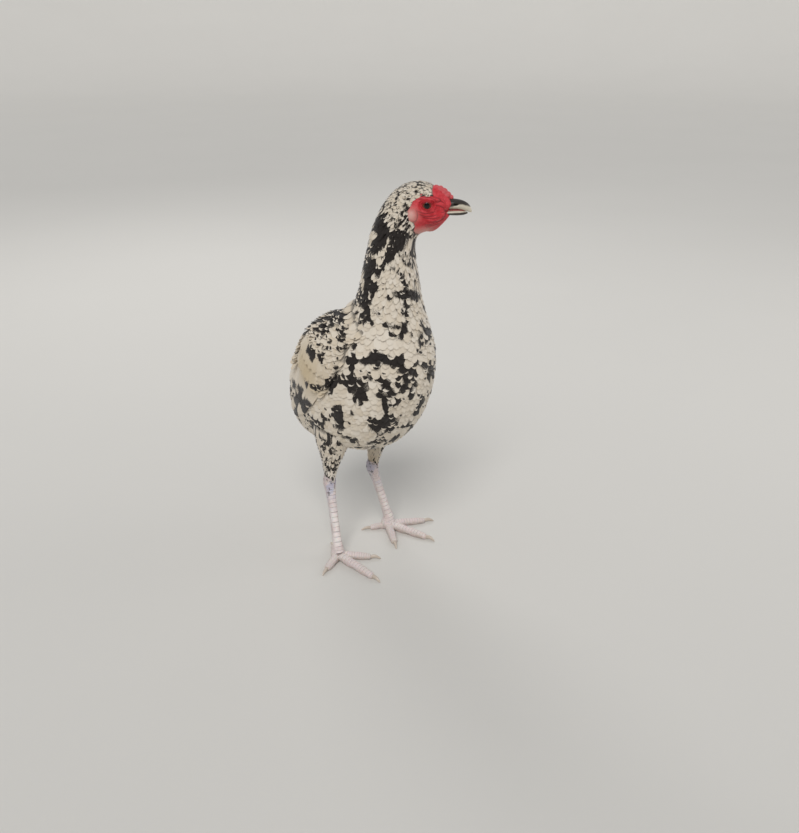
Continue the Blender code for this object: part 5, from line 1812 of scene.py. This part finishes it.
class HEN_OT_stage(bpy.types.Operator):
    """A plain pale floor, soft studio light, and the camera"""
    bl_idname = "hen.stage"
    bl_label = "Stage"

    def execute(self, context):
        bm = bmesh.new()
        bmesh.ops.create_circle(bm, cap_ends=True, radius=FLOOR_RADIUS, segments=96)
        rim = [edge for edge in bm.edges if edge.is_boundary]
        for angle in np.linspace(0, pi / 2, 13)[1:]:
            out = bmesh.ops.extrude_edge_only(bm, edges=rim)["geom"]
            rim = [item for item in out if isinstance(item, bmesh.types.BMEdge)]
            verts = [item for item in out if isinstance(item, bmesh.types.BMVert)]
            reach = FLOOR_RADIUS + SWEEP_RADIUS * sin(angle)
            for vert in verts:
                flat = Vector((vert.co.x, vert.co.y, 0)).normalized() * reach
                vert.co = (flat.x, flat.y, SWEEP_RADIUS * (1 - cos(angle)))
        floor = linked("floor", mesh_from("floor", bm))
        floor.data.materials.append(self.floor_finish())
        self.world(context)
        self.lights()
        self.camera(context)
        return {"FINISHED"}

    def floor_finish(self):
        """Matte painted board, pale and even, with a faint roller texture 3 mm across."""
        made, tree, shader = new_finish("painted_board", Roughness=0.85, Specular_IOR_Level=0.3)
        place = object_place(tree)
        cloud = noise(tree, place, 2.0, 2.0)
        colour = mixed(tree, cloud, hex_linear("D2CFC9"), hex_linear("D5D2CC"))
        dress(tree, shader, colour, noise(tree, place, 330.0, 2.0), 0.15, 0.0005)
        return made

    def world(self, context):
        world = bpy.data.worlds.new("soft_room")
        world.use_nodes = True
        back = world.node_tree.nodes["Background"]
        back.inputs["Color"].default_value = hex_linear("DADDE2")
        back.inputs["Strength"].default_value = 0.50
        context.scene.world = world
        context.scene.view_settings.view_transform = "Standard"

    def lights(self):
        def aimed(light, place):
            made = linked(light.name, light)
            made.rotation_euler = (LIGHTS_AIM - Vector(place)).to_track_quat("-Z", "Y").to_euler()
            return made

        sun = bpy.data.lights.new("sky_window", "SUN")
        sun.energy = 1.7
        sun.angle = radians(28)
        aimed(sun, WINDOW_AT)
        for name, size, power, place in LAMPS:
            light = bpy.data.lights.new(name, "AREA")
            light.shape = "DISK"
            light.size = size
            light.energy = power
            aimed(light, place).location = place

    def camera(self, context):
        data = bpy.data.cameras.new("camera")
        data.sensor_fit = "HORIZONTAL"
        data.sensor_width = SENSOR
        data.lens = FOCAL_PIXELS / IMAGE_WIDTH * SENSOR
        made = linked("camera", data)
        made.location = CAMERA_AT
        made.rotation_euler = (pi / 2 - CAMERA_PITCH, 0, -VIEW_TURN)
        context.scene.camera = made


class HEN_PT_panel(bpy.types.Panel):
    """Lists the pieces in the order in which they are made"""
    bl_label = "Hen"
    bl_idname = "HEN_PT_panel"
    bl_space_type = "VIEW_3D"
    bl_region_type = "UI"
    bl_category = "Hen"

    def draw(self, context):
        for operator in OPERATORS:
            self.layout.operator(operator.bl_idname)
        for group in (context.scene.hen_sizes, context.scene.hen_colours):
            for name in group.__annotations__:
                self.layout.prop(group, name)


OPERATORS = (HEN_OT_stage, HEN_OT_skin, HEN_OT_comb, HEN_OT_eyes, HEN_OT_beak, HEN_OT_claws, HEN_OT_coat,
             HEN_OT_thighs, HEN_OT_wings, HEN_OT_tail)


def register():
    for made in (HenSizes, HenColours) + OPERATORS + (HEN_PT_panel,):
        bpy.utils.register_class(made)
    bpy.types.Scene.hen_sizes = bpy.props.PointerProperty(type=HenSizes)
    bpy.types.Scene.hen_colours = bpy.props.PointerProperty(type=HenColours)


def unregister():
    del bpy.types.Scene.hen_colours
    del bpy.types.Scene.hen_sizes
    for made in reversed((HenSizes, HenColours) + OPERATORS + (HEN_PT_panel,)):
        bpy.utils.unregister_class(made)


def main():
    register()
    for operator in OPERATORS:
        group, name = operator.bl_idname.split(".")
        getattr(getattr(bpy.ops, group), name)()


if __name__ == "__main__":
    main()
